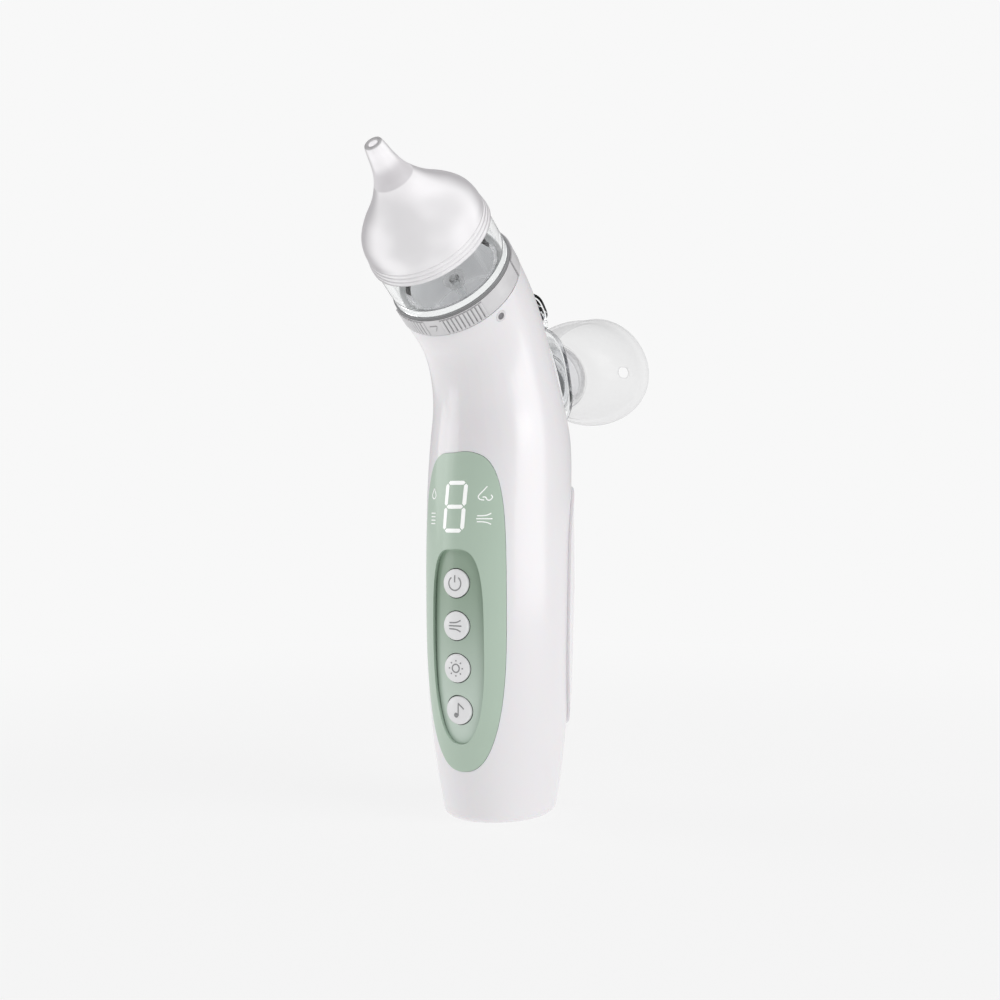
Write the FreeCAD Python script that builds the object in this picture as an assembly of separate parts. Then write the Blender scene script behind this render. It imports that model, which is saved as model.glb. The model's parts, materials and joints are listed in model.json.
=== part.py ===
import FreeCAD, Part
import math
import os
from functools import lru_cache

os.makedirs("parts", exist_ok=True)

V = FreeCAD.Vector
X_AXIS = V(1, 0, 0)
Y_AXIS = V(0, 1, 0)
Z_AXIS = V(0, 0, 1)

# Frame: millimetres, +Z up, -Y is the front (control panel, and where the neck bends to).
# The origin is the centre of the flat base, on the straight handle's centre line.

# ---- driving dimensions -------------------------------------------------------------------------

# Body: the centre line is straight, then an arc towards the front. Each section is an oval.
BEND_START = 109.0
BEND_RADIUS = 56.0
HEAD_TILT = 53.0
# distance along the centre line, half width, front depth, back depth
BODY_SECTIONS = (
    (0.0, 15.5, 17.9, 19.2),
    (14.0, 17.6, 20.8, 22.0),
    (26.0, 18.8, 23.2, 23.3),
    (42.0, 19.8, 25.1, 24.1),
    (62.0, 20.3, 25.8, 24.8),
    (82.0, 20.3, 25.8, 25.0),
    (98.0, 20.1, 24.8, 25.6),
    (110.0, 19.7, 23.4, 25.9),
    (122.0, 18.3, 21.9, 22.4),
    (135.0, 17.4, 19.5, 20.5),
    (148.0, 17.6, 17.9, 20.0),
    (160.8, 18.4, 18.3, 18.4),
)
BASE_ROUND = 2.8
WALL = 2.2
LEDGE_DEPTH = 1.2
SEAM_GAP = 0.1

# Rear cover: a rounded outline seen from the side, cut straight across the body.
COVER_MIDDLE_Z = 61.0
COVER_HALF_HEIGHT = 37.0
COVER_CENTRE_Y = 26.5
COVER_REACH = 20.7
COVER_PROUD = 0.9
COVER_LEDGE = 3.0
COVER_EXPONENT = 3.0

# Control panel, with a sunk tray for the buttons.
PANEL_BOTTOM_Z = 15.3
PANEL_TOP_Z = 107.0
PANEL_HALF_WIDTH = 13.5
PANEL_TOP_EXPONENT = 3.9
PANEL_BOTTOM_EXPONENT = 2.5
PANEL_PROUD = 0.2
PANEL_LEDGE = 2.0
TRAY_BOTTOM_Z = 23.4
TRAY_TOP_Z = 79.3
TRAY_HALF_WIDTH = 8.5
TRAY_TOP_EXPONENT = 3.5
TRAY_BOTTOM_EXPONENT = 2.4
TRAY_DEPTH = 1.1
TRAY_FLOOR = 1.0

# Buttons, from the top down.
BUTTON_NAMES = ("power_button", "suction_button", "light_button", "music_button")
BUTTON_TOP_Z = 69.6
BUTTON_PITCH = 12.1
BUTTON_RADIUS = 4.1
BUTTON_HOLE_RADIUS = 4.35
BUTTON_PROUD = 0.45
BUTTON_CROWN = 0.35
BUTTON_EDGE = 0.25
BUTTON_FLANGE_RADIUS = 4.6
BUTTON_FLANGE = 0.5
BUTTON_FLANGE_GAP = 1.35
BUTTON_STEM_RADIUS = 1.6
BUTTON_STEM_ENTRY = 0.3

# Seven-segment digit.
DIGIT_CENTRE_X = 0.0
DIGIT_CENTRE_Z = 91.4
DIGIT_WIDTH = 6.0
DIGIT_HEIGHT = 13.6
DIGIT_STROKE = 1.15
DIGIT_SLANT = 0.06
SEGMENT_GAP = 0.25

# Electronics on the inner frame, flat behind the panel.
BOARD_FRONT_Y = -16.5
BOARD_THICKNESS = 1.2
BOARD_HALF_WIDTH = 10.2
BOARD_Z = (27.0, 105.0)
SWITCH_DEPTH = 2.4
SWITCH_HALF = 3.0
FRAME_FRONT_Y = -13.9
FRAME_THICKNESS = 1.5
FRAME_HALF_WIDTH = 11.2
FRAME_Z = (24.0, 107.0)
FRAME_RIB_HALF_WIDTH = 11.0
FRAME_RIB_HEIGHT = 3.0
FRAME_POST_RADIUS = 1.6
SHELF_GAP = 1.0
SHELF_THICKNESS = 1.2
DISPLAY_FRONT_Y = -22.0
SCREW_RADIUS = 0.8
SCREW_HEAD_RADIUS = 1.5
CHARGE_BOARD_Z = 7.7
CHARGE_BOARD_HALF_WIDTH = 8.2
CHARGE_BOARD_Y = (-13.6, -2.6)

# Battery and vacuum pump, one above the other.
BATTERY_RADIUS = 9.1
BATTERY_Z = (10.0, 60.0)
BATTERY_Y = 8.0
BATTERY_LEAD_RADIUS = 0.28
MOTOR_LEAD_RADIUS = 0.35
PUMP_Y = 3.0
MOTOR_RADIUS = 10.1
MOTOR_Z = (63.0, 87.0)
SHAFT_RADIUS = 1.0
SHAFT_CLEARANCE = 0.05
PUMP_HALF = 12.5
PUMP_CORNER = 4.0
PUMP_BORE = 10.0
PUMP_HUB_RADIUS = 5.0
PUMP_CHAMBER_RADIUS = 3.0
MOTOR_BOSS_RADIUS = 3.0
PUMP_ECCENTRIC_Z = (89.6, 93.0)
CRANK_OFFSET = 1.5
CRANK_RADIUS = 1.0
PUMP_DIAPHRAGM_Z = (99.0, 100.2)
PUMP_TOP_Z = 106.0
NIPPLE_RADIUS = 1.45
NIPPLE_BORE = 0.8
NIPPLE_OFFSET_X = 4.5
TUBE_RADIUS = 2.6
TUBE_BORE = 1.5

# Head, along the tilted axis. Heights are measured from the nozzle's rim, positive to the tip.
HEAD_ORIGIN = V(0.0, -38.0, 165.4)
RING_LOW = -19.5
RING_TOP = -13.5
RING_RADIUS = 18.5
RING_BORE = 16.55
RIB_COUNT = 11
RIB_ARC = (10.0, 48.0)
RIB_RADIUS = 0.55
CUP_RADIUS = 17.7
CUP_WALL = 1.8
CUP_LOW = -12.4
CUP_TOP = 4.0
CUP_MOUTH_RADIUS = 16.3
CUP_WELL_RADIUS = 14.3
CUP_WELL_WALL = 1.3
CUP_WELL_LOW = -28.0
CUP_FLOOR = 1.4
SOCKET_FLOOR_LOW = -31.0
SOCKET_WALL = 0.8
SOCKET_FIT = 0.1
FILTER_RADIUS = 3.0
STEM_RADIUS = 1.5
STEM_BORE = 0.8
STEM_TOP = -15.0
NOZZLE_LENGTH = 34.3
NOZZLE_TIP_RADIUS = 2.5
NOZZLE_TIP_BORE = 1.3

# Lamp lens on the neck's side, and how far round from the front it sits.
LAMP_ANGLE = 58.8
LAMP_BELOW_RING = 2.75
LAMP_REACH = 17.9
LAMP_RADIUS = 1.0
LAMP_BEZEL_RADIUS = 1.6
LAMP_BEZEL_DEPTH = 1.9
LAMP_LENS_DEPTH = 1.5

# Base: charging port and speaker.
USB_HALF_WIDTH = 4.5
USB_HALF_DEPTH = 1.6
USB_Y = -8.0
SPEAKER_Y = 7.5
SPEAKER_RADIUS = 7.5
SPEAKER_HOLE_RADIUS = 0.6
SPEAKER_HOLE_CIRCLE = 3.0

# Spring contacts between the housing and the tank, across the mist unit's axis.
PIN_RADIUS = 0.9
PIN_OFFSET_X = 4.0
PIN_OFFSET_Y = 8.0

# Mist unit on the back of the neck, along an axis that points back and a little up.
MIST_TILT = 18.0
MIST_ORIGIN = V(0.0, 25.0, 129.6)
TANK_HALF_WIDTH = 12.3
TANK_HALF_HEIGHT = 16.25
TANK_RISE = 2.75
TANK_EXPONENT = 3.0
TANK_ROUND = 3.0
TANK_WALL = 1.4
TANK_GAP = 0.15
MESH_RADIUS = 7.9
MESH_OPENING = 5.0
MESH_FLOOR = 0.9
MESH_THICKNESS = 0.3
ADAPTER_RADIUS = 9.7
ADAPTER_WALL = 1.5
ADAPTER_LENGTH = 11.5

# Lid of the tank: a thin plate that lies on a steeper slope, above the tank, over the filling spout.
LID_TILT = 45.0
LID_ORIGIN = V(0.0, 12.0, 152.4)
LID_HALF_WIDTH = 9.0
LID_HALF_LENGTH = 5.8
LID_THICKNESS = 1.5
LID_EXPONENT = 3.5
LID_HINGE_RADIUS = 1.3
LID_HINGE_Y = 6.6
LID_HINGE_BARREL = 5.0
LID_HINGE_PIN = 0.7
FILL_RADIUS = 3.2

# Mask: a bowl that starts at the adapter ring and ends in an upright egg-shaped rim.
MASK_NECK_RADIUS = 10.9
MASK_NECK_LOW = 6.5
MASK_RIM_CENTRE = V(0.0, 63.5, 136.5)
MASK_RIM_HALF_WIDTH = 19.6
MASK_RIM_HALF_HEIGHT = 17.2
MASK_EGG = 0.1
MASK_BOWL_EXPONENT = 2.3
MASK_WALL = 1.1
MASK_LIP = 0.9
MASK_LIP_START = 0.93
MASK_VENT_CENTRE = V(14.6, 51.0, 134.5)
MASK_VENT_ANGLE = 50.0
MASK_VENT_HALF_LENGTH = 2.6
MASK_VENT_RADIUS = 1.7


# ---- helpers ------------------------------------------------------------------------------------

def save(name, shape):
    """Write one piece to its own file."""
    shape.exportStep("parts/" + name + ".step")


def cylinder(radius, low, high, x=0.0, y=0.0):
    """Upright cylinder between two heights."""
    return Part.makeCylinder(radius, high - low, V(x, y, low), Z_AXIS)


def tube(outer, inner, low, high, x=0.0, y=0.0):
    """Upright tube between two heights."""
    return cylinder(outer, low, high, x, y).cut(cylinder(inner, low - 1, high + 1, x, y))


def block(x_range, y_range, z_range):
    """Box from three ranges."""
    size = [high - low for low, high in (x_range, y_range, z_range)]
    return Part.makeBox(*size, V(x_range[0], y_range[0], z_range[0]))


def fuse(shapes):
    """One solid from touching shapes."""
    result = shapes[0]
    for shape in shapes[1:]:
        result = result.fuse(shape)
    return result.removeSplitter()


def round_block(half, corner, low, high, y=0.0):
    """Upright square block with rounded corners."""
    shape = block((-half, half), (y - half, y + half), (low, high))
    uprights = [edge for edge in shape.Edges if abs(edge.tangentAt(edge.FirstParameter).z) > 0.99]
    return shape.makeFillet(corner, uprights)


def revolve(profile):
    """Solid of revolution about Z from (radius, height) points joined by straight lines."""
    points = [V(radius, 0, height) for radius, height in profile]
    wire = Part.makePolygon(points + [points[0]])
    return Part.Face(wire).revolve(V(0, 0, 0), Z_AXIS, 360)


def signed_power(value, power):
    """Power of a number's size, with the number's sign kept."""
    return math.copysign(abs(value) ** power, value)


def superellipse(half_a, half_b, top_exponent, bottom_exponent=None, count=32):
    """Points round a superellipse: exponent 2 is an ellipse, more is squarer."""
    points = []
    for step in range(count):
        angle = 2 * math.pi * step / count
        exponent = top_exponent if math.cos(angle) > 0 or bottom_exponent is None else bottom_exponent
        a = half_a * signed_power(math.sin(angle), 2 / exponent)
        b = half_b * signed_power(math.cos(angle), 2 / exponent)
        points.append((a, b))
    return points


def smooth_wire(points):
    """Closed smooth curve through points."""
    curve = Part.BSplineCurve()
    curve.interpolate(Points=points, PeriodicFlag=True)
    return Part.Wire(curve.toShape())


def prism(wire, direction):
    """Straight solid from a flat closed wire."""
    return Part.Face(wire).extrude(direction)


def pipe(path, radius):
    """Round bar along a path."""
    start = path.Edges[0]
    point = start.valueAt(start.FirstParameter)
    tangent = start.tangentAt(start.FirstParameter)
    profile = Part.Wire(Part.makeCircle(radius, point, tangent))
    return path.makePipeShell([profile], True, False)


def at_head(shape):
    """Move a piece built upright round Z to the tilted head axis; its -Y side becomes the front."""
    moved = shape.copy()
    moved.Placement = FreeCAD.Placement(HEAD_ORIGIN, FreeCAD.Rotation(X_AXIS, HEAD_TILT))
    return moved


def at_mist(shape):
    """Move a piece built upright round Z to the mist unit's axis; its -Y side becomes the top."""
    moved = shape.copy()
    turn = FreeCAD.Rotation(X_AXIS, MIST_TILT - 90)
    moved.Placement = FreeCAD.Placement(MIST_ORIGIN, turn)
    return moved


# ---- body ---------------------------------------------------------------------------------------

def centre_line(along):
    """Point on the body's centre line, and how far it leans forward there, in radians."""
    lean = min(max(along - BEND_START, 0.0) / BEND_RADIUS, math.radians(HEAD_TILT))
    height = min(along, BEND_START) + BEND_RADIUS * math.sin(lean)
    point = V(0, -BEND_RADIUS * (1 - math.cos(lean)), height)
    beyond = max(along - BEND_START, 0.0) - lean * BEND_RADIUS
    return point + V(0, -math.sin(lean), math.cos(lean)) * beyond, lean


def body_wire(along, half_width, front, back, offset):
    """Oval section of the body, grown or shrunk by the offset."""
    centre, lean = centre_line(along)
    forward = V(0, -math.cos(lean), -math.sin(lean))
    points = []
    for side, reach in superellipse(1.0, 1.0, 2.0):
        depth = (front if reach > 0 else back) + offset
        points.append(centre + X_AXIS * (side * (half_width + offset)) + forward * (reach * depth))
    return smooth_wire(points)


@lru_cache(maxsize=None)
def body_solid(offset, overrun=0.0):
    """The body's outer form, grown or shrunk by the offset and run on past the neck's end."""
    wires = [body_wire(*section, offset) for section in BODY_SECTIONS]
    if overrun:
        last = BODY_SECTIONS[-1]
        wires.append(body_wire(last[0] + overrun, *last[1:], offset))
    return Part.makeLoft(wires, True)


def rounded_body():
    """The body's outer form with its base edge rounded, made as one half and its mirror image."""
    half = body_solid(0.0).common(block((0, 60), (-100, 60), (-5, 250)))
    base_arc = [edge for edge in half.Edges if edge.BoundBox.ZMax < 0.01 and edge.BoundBox.XLength > 1]
    half = half.makeFillet(BASE_ROUND, base_arc)
    return half.fuse(half.mirror(V(0, 0, 0), X_AXIS)).removeSplitter()


def front_depth(height):
    """Depth of the front face at a height on the straight handle."""
    for low, high in zip(BODY_SECTIONS, BODY_SECTIONS[1:]):
        if low[0] <= height <= high[0]:
            share = (height - low[0]) / (high[0] - low[0])
            return low[2] + share * (high[2] - low[2])
    raise ValueError("height is off the handle")


def cover_prism(inset):
    """Solid across the body that marks out the rear cover."""
    reach = COVER_REACH - inset
    half_height = COVER_HALF_HEIGHT - inset
    outline = superellipse(reach, half_height, COVER_EXPONENT)
    points = [V(-30, COVER_CENTRE_Y - a, COVER_MIDDLE_Z + b) for a, b in outline]
    return prism(smooth_wire(points), V(60, 0, 0))


def front_prism(bottom, top, half_width, exponents, inset):
    """Solid through the front face, with a rounded outline seen from the front."""
    outline = superellipse(half_width - inset, (top - bottom) / 2 - inset, *exponents)
    points = [V(a, -40, (top + bottom) / 2 + b) for a, b in outline]
    return prism(smooth_wire(points), V(0, 40, 0))


def panel_prism(inset):
    """Solid that marks out the control panel."""
    exponents = (PANEL_TOP_EXPONENT, PANEL_BOTTOM_EXPONENT)
    return front_prism(PANEL_BOTTOM_Z, PANEL_TOP_Z, PANEL_HALF_WIDTH, exponents, inset)


def tray_prism(inset):
    """Solid that marks out the sunk tray."""
    exponents = (TRAY_TOP_EXPONENT, TRAY_BOTTOM_EXPONENT)
    return front_prism(TRAY_BOTTOM_Z, TRAY_TOP_Z, TRAY_HALF_WIDTH, exponents, inset)


def main_housing():
    """One-piece shell, open at the neck, with openings for the rear cover and the panel."""
    outer = rounded_body()
    hollow = body_solid(-WALL, 6.0).common(block((-60, 60), (-80, 60), (WALL, 200)))
    shell = outer.cut(hollow)
    ledge = body_solid(-LEDGE_DEPTH)
    shell = shell.cut(cover_prism(0.0).cut(ledge))
    shell = shell.cut(cover_prism(COVER_LEDGE))
    shell = shell.cut(panel_prism(0.0).cut(ledge))
    shell = shell.cut(panel_prism(PANEL_LEDGE))
    shell = shell.cut(usb_mouth())
    shell = shell.cut(speaker_holes())
    shell = shell.cut(at_lamp(cylinder(LAMP_BEZEL_RADIUS + SEAM_GAP / 2, -5, 5)))
    for x in (-PIN_OFFSET_X, PIN_OFFSET_X):
        shell = shell.cut(at_mist(cylinder(PIN_RADIUS + SHAFT_CLEARANCE, -12, 0, x, PIN_OFFSET_Y)))
    return shell


def rear_cover():
    """Long oval panel that closes the back of the handle, slightly proud."""
    skin = body_solid(COVER_PROUD).cut(body_solid(-LEDGE_DEPTH + SEAM_GAP))
    return skin.common(cover_prism(SEAM_GAP))


def usb_mouth():
    """Rounded slot through the base for the charging plug."""
    middle = USB_HALF_WIDTH - USB_HALF_DEPTH
    slot = block((-middle, middle), (USB_Y - USB_HALF_DEPTH, USB_Y + USB_HALF_DEPTH), (-1, WALL + 1))
    ends = [cylinder(USB_HALF_DEPTH, -1, WALL + 1, x, USB_Y) for x in (-middle, middle)]
    return fuse([slot] + ends)


def speaker_holes():
    """Small sound holes through the base: one in the middle and six round it."""
    holes = [cylinder(SPEAKER_HOLE_RADIUS, -1, WALL + 1, 0, SPEAKER_Y)]
    for step in range(6):
        angle = math.radians(60 * step)
        x = SPEAKER_HOLE_CIRCLE * math.cos(angle)
        y = SPEAKER_Y + SPEAKER_HOLE_CIRCLE * math.sin(angle)
        holes.append(cylinder(SPEAKER_HOLE_RADIUS, -1, WALL + 1, x, y))
    return Part.makeCompound(holes)


# ---- control panel, buttons and display ---------------------------------------------------------

def digit_segments(grow):
    """The seven bars of the digit, as prisms through the panel's face."""
    half_w = DIGIT_WIDTH / 2
    half_h = DIGIT_HEIGHT / 4
    bars = []
    for x, z, upright in (
        (0, 2 * half_h, False), (0, 0, False), (0, -2 * half_h, False),
        (-half_w, half_h, True), (half_w, half_h, True),
        (-half_w, -half_h, True), (half_w, -half_h, True),
    ):
        half_long = (half_h if upright else half_w) - SEGMENT_GAP + grow
        half_wide = DIGIT_STROKE / 2 + grow
        corners = (
            (-half_long, 0), (-half_long + half_wide, half_wide), (half_long - half_wide, half_wide),
            (half_long, 0), (half_long - half_wide, -half_wide), (-half_long + half_wide, -half_wide),
        )
        points = []
        for along, across in corners:
            a, b = (across, along) if upright else (along, across)
            height = z + b
            points.append(V(DIGIT_CENTRE_X + x + a + DIGIT_SLANT * height, -40, DIGIT_CENTRE_Z + height))
        bars.append(prism(Part.makePolygon(points + [points[0]]), V(0, 40, 0)))
    return bars


def button_heights():
    """Heights of the four buttons, from the top down."""
    return [BUTTON_TOP_Z - BUTTON_PITCH * step for step in range(len(BUTTON_NAMES))]


def at_front(shape, height, y):
    """Turn a piece built upright round Z so that it faces the front, at a height and depth."""
    moved = shape.copy()
    moved.Placement = FreeCAD.Placement(V(0, y, height), FreeCAD.Rotation(X_AXIS, 90))
    return moved


def control_panel():
    """Green panel with a sunk tray, holes for the buttons and slots for the digit's bars."""
    face = body_solid(PANEL_PROUD).cut(body_solid(-LEDGE_DEPTH + SEAM_GAP)).common(panel_prism(SEAM_GAP))
    tray = body_solid(-0.1).cut(body_solid(-TRAY_DEPTH - TRAY_FLOOR)).common(tray_prism(-TRAY_FLOOR))
    panel = face.fuse(tray)
    panel = panel.cut(tray_prism(0.0).cut(body_solid(-TRAY_DEPTH)))
    for height in button_heights():
        panel = panel.cut(at_front(cylinder(BUTTON_HOLE_RADIUS, 0, 40), height, 0))
    for bar in digit_segments(0.03):
        panel = panel.cut(bar)
    return panel.removeSplitter()


def digit_light_guide():
    """Seven clear bars that carry the display's light to the panel's face."""
    skin = body_solid(PANEL_PROUD + 0.05)
    behind = block((-20, 20), (DISPLAY_FRONT_Y, 0), (0, 200))
    return Part.makeCompound([bar.common(skin).cut(behind) for bar in digit_segments(0.0)])


def button(height):
    """Domed round cap with a retaining flange and a stem that reaches into its switch."""
    floor = front_depth(height) - TRAY_DEPTH
    face = floor + BUTTON_PROUD
    flange_top = floor - TRAY_FLOOR - BUTTON_FLANGE_GAP
    flange_low = flange_top - BUTTON_FLANGE
    stem_end = -BOARD_FRONT_Y + SWITCH_DEPTH - BUTTON_STEM_ENTRY
    profile = [(0, stem_end), (BUTTON_STEM_RADIUS, stem_end), (BUTTON_STEM_RADIUS, flange_low)]
    profile += [(BUTTON_FLANGE_RADIUS, flange_low), (BUTTON_FLANGE_RADIUS, flange_top)]
    profile += [(BUTTON_RADIUS, flange_top), (BUTTON_RADIUS, face - BUTTON_EDGE)]
    dome_rim = BUTTON_RADIUS - BUTTON_EDGE
    sphere = (dome_rim ** 2 + BUTTON_CROWN ** 2) / (2 * BUTTON_CROWN)
    for step in range(7):
        radius = dome_rim * (1 - step / 6)
        profile.append((radius, face + math.sqrt(sphere ** 2 - radius ** 2) - sphere + BUTTON_CROWN))
    return at_front(revolve(profile), height, 0)


def tact_switches():
    """Four push switches on the board, each open in the middle for its button's stem."""
    switches = []
    front = -BOARD_FRONT_Y + SWITCH_DEPTH
    for height in button_heights():
        body = round_block(SWITCH_HALF, 0.6, -BOARD_FRONT_Y, front)
        body = body.cut(cylinder(BUTTON_STEM_RADIUS + 0.1, front - 1.4, front + 1))
        switches.append(at_front(body, height, 0))
    return Part.makeCompound(switches)


def main_board():
    """Printed circuit board that carries the display, the switches and the controller."""
    y = (BOARD_FRONT_Y, BOARD_FRONT_Y + BOARD_THICKNESS)
    board = block((-BOARD_HALF_WIDTH, BOARD_HALF_WIDTH), y, BOARD_Z)
    for x, z in screw_places():
        board = board.cut(at_front(cylinder(SCREW_RADIUS + 0.15, 0, 40), z, 0).translate(V(x, 0, 0)))
    behind = (y[1] - 0.01, y[1] + 0.6)
    chips = [block((-3, 3), behind, (40, 46)), block((-4, 2), behind, (84, 88))]
    return fuse([board] + chips)


def screw_places():
    """Where the board screws go: near the board's four corners."""
    x = BOARD_HALF_WIDTH - 1.9
    return [(side * x, z) for z in (BOARD_Z[0] + 2.0, BOARD_Z[1] - 4.5) for side in (-1, 1)]


def board_screws():
    """Four pan-head screws that hold the board to the inner frame."""
    screws = []
    for x, z in screw_places():
        front = -BOARD_FRONT_Y
        head = cylinder(SCREW_HEAD_RADIUS, front + 0.02, front + 1.0)
        slot = block((-SCREW_HEAD_RADIUS, SCREW_HEAD_RADIUS), (-0.2, 0.2), (front + 0.6, front + 1.2))
        shank = cylinder(SCREW_RADIUS, front - 4.2, front + 0.03)
        screws.append(at_front(head.cut(slot).fuse(shank), z, 0).translate(V(x, 0, 0)))
    return Part.makeCompound(screws)


def display_module():
    """Dark display block on the board behind the digit."""
    half_w = DIGIT_WIDTH / 2 + 3.2
    half_h = DIGIT_HEIGHT / 2 + 1.2
    z = (DIGIT_CENTRE_Z - half_h, DIGIT_CENTRE_Z + half_h)
    return block((-half_w, half_w), (DISPLAY_FRONT_Y + 0.05, BOARD_FRONT_Y - 0.02), z)


# ---- inside the handle --------------------------------------------------------------------------

def inner_frame():
    """Moulded frame: a back plate with board posts, a battery cradle and a pump shelf."""
    back = FRAME_FRONT_Y + FRAME_THICKNESS
    plate = block((-FRAME_HALF_WIDTH, FRAME_HALF_WIDTH), (FRAME_FRONT_Y, back), FRAME_Z)
    parts = [plate]
    for x, z in screw_places():
        post_end = -BOARD_FRONT_Y - BOARD_THICKNESS - 0.02
        post = cylinder(FRAME_POST_RADIUS, -FRAME_FRONT_Y - 0.2, post_end)
        parts.append(at_front(post, z, 0).translate(V(x, 0, 0)))
    width = (-FRAME_RIB_HALF_WIDTH, FRAME_RIB_HALF_WIDTH)
    for low in (FRAME_Z[0] + 2.0, BATTERY_Z[1] - 12.0):
        high = low + FRAME_RIB_HEIGHT
        rib = block(width, (back - 0.2, BATTERY_Y), (low, high))
        parts.append(rib.cut(cylinder(BATTERY_RADIUS + 0.1, low - 1, high + 1, 0, BATTERY_Y)))
    shelf_z = BATTERY_Z[1] + SHELF_GAP
    shelf_back = PUMP_Y + MOTOR_RADIUS - 1.1
    parts.append(block(width, (back - 0.2, shelf_back), (shelf_z, shelf_z + SHELF_THICKNESS)))
    frame = fuse(parts)
    for x, z in screw_places():
        hole = cylinder(SCREW_RADIUS + 0.02, -FRAME_FRONT_Y - FRAME_THICKNESS - 1, 30)
        frame = frame.cut(at_front(hole, z, 0).translate(V(x, 0, 0)))
    return frame


def battery_cell():
    """Round lithium cell with its raised cap."""
    low, high = BATTERY_Z
    body = cylinder(BATTERY_RADIUS, low, high - 0.8, 0, BATTERY_Y)
    return body.fuse(cylinder(3.0, high - 0.9, high, 0, BATTERY_Y))


def pump_motor():
    """Motor can with a bore for its shaft."""
    low, high = MOTOR_Z
    can = cylinder(MOTOR_RADIUS, low, high - 0.2, 0, PUMP_Y)
    can = can.fuse(cylinder(MOTOR_BOSS_RADIUS, high - 1.0, high + 1.0, 0, PUMP_Y))
    return can.cut(cylinder(SHAFT_RADIUS + SHAFT_CLEARANCE, low + 3, high + 5, 0, PUMP_Y))


def motor_shaft():
    """Steel shaft that turns in the motor and carries the eccentric."""
    return cylinder(SHAFT_RADIUS, MOTOR_Z[0] + 3.5, PUMP_ECCENTRIC_Z[1] - 0.8, 0, PUMP_Y)


def pump_eccentric():
    """Hub pressed on the shaft, with an off-centre crank pin."""
    low, high = PUMP_ECCENTRIC_Z
    hub = cylinder(PUMP_HUB_RADIUS, low, high, 0, PUMP_Y)
    hub = hub.cut(cylinder(SHAFT_RADIUS, low - 1, high - 0.8, 0, PUMP_Y))
    return hub.fuse(cylinder(CRANK_RADIUS, high - 0.1, high + 3.0, CRANK_OFFSET, PUMP_Y))


def pump_housing():
    """Square cup round the crank, with a collar for the motor."""
    low = MOTOR_Z[1] + 0.05
    body = round_block(PUMP_HALF, PUMP_CORNER, low, PUMP_DIAPHRAGM_Z[0] - 0.02, PUMP_Y)
    body = body.cut(cylinder(PUMP_BORE, low + 2.0, 200, 0, PUMP_Y))
    body = body.cut(cylinder(MOTOR_BOSS_RADIUS + 0.1, low - 1, low + 3, 0, PUMP_Y))
    for x, y in pump_screw_places():
        body = body.cut(cylinder(SCREW_RADIUS + 0.02, PUMP_DIAPHRAGM_Z[0] - 6, 200, x, y))
    return body


def pump_screw_places():
    """Where the pump's screws go: near its four corners."""
    reach = PUMP_HALF - 2.3
    return [(a * reach, PUMP_Y + b * reach) for a in (-1, 1) for b in (-1, 1)]


def pump_rocker():
    """Arm that follows the crank and works the diaphragm; its eye leaves room for the crank."""
    low = PUMP_ECCENTRIC_Z[1] + 0.6
    arm = tube(8.0, CRANK_OFFSET + CRANK_RADIUS + 0.3, low, low + 1.6, 0, PUMP_Y)
    stems = [cylinder(1.2, low + 1.5, PUMP_DIAPHRAGM_Z[0] - 0.02, x, PUMP_Y) for x in (-6.0, 6.0)]
    return fuse([arm] + stems)


def pump_diaphragm():
    """Rubber sheet clamped under the pump's cover."""
    low, high = PUMP_DIAPHRAGM_Z
    sheet = round_block(PUMP_HALF, PUMP_CORNER, low, high, PUMP_Y)
    for x, y in pump_screw_places():
        sheet = sheet.cut(cylinder(SCREW_RADIUS + 0.15, low - 1, high + 1, x, y))
    return sheet


def pump_cover():
    """Valve cover with an inlet and an outlet nipple."""
    low = PUMP_DIAPHRAGM_Z[1] + 0.02
    body = round_block(PUMP_HALF, PUMP_CORNER, low, PUMP_TOP_Z, PUMP_Y)
    for x, y in pump_screw_places():
        body = body.cut(cylinder(SCREW_RADIUS + 0.15, low - 1, PUMP_TOP_Z + 1, x, y))
    for x in (-NIPPLE_OFFSET_X, NIPPLE_OFFSET_X):
        body = body.cut(cylinder(PUMP_CHAMBER_RADIUS, low - 1, low + 1.6, x, PUMP_Y))
        body = body.fuse(cylinder(NIPPLE_RADIUS, PUMP_TOP_Z - 0.1, PUMP_TOP_Z + 5, x, PUMP_Y))
        body = body.cut(cylinder(NIPPLE_BORE, low, PUMP_TOP_Z + 6, x, PUMP_Y))
    return body


def pump_valves():
    """Two small rubber valve discs in the cover's chambers."""
    low = PUMP_DIAPHRAGM_Z[1] + 0.3
    places = (-NIPPLE_OFFSET_X, NIPPLE_OFFSET_X)
    radius = PUMP_CHAMBER_RADIUS - 0.6
    return Part.makeCompound([cylinder(radius, low, low + 0.5, x, PUMP_Y) for x in places])


def pump_screws():
    """Four screws that clamp the cover and the diaphragm to the pump's housing."""
    screws = []
    for x, y in pump_screw_places():
        head = cylinder(SCREW_HEAD_RADIUS, PUMP_TOP_Z + 0.02, PUMP_TOP_Z + 1.0, x, y)
        slot = block((x - 2, x + 2), (y - 0.2, y + 0.2), (PUMP_TOP_Z + 0.6, PUMP_TOP_Z + 2))
        shank = cylinder(SCREW_RADIUS, PUMP_DIAPHRAGM_Z[0] - 5, PUMP_TOP_Z + 0.03, x, y)
        screws.append(head.cut(slot).fuse(shank))
    return Part.makeCompound(screws)


def pump_sleeve():
    """Foam sleeve round the motor that keeps its hum out of the shell."""
    return tube(MOTOR_RADIUS + 2.0, MOTOR_RADIUS + 0.05, MOTOR_Z[0] + 2, MOTOR_Z[1] - 2, 0, PUMP_Y)


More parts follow.
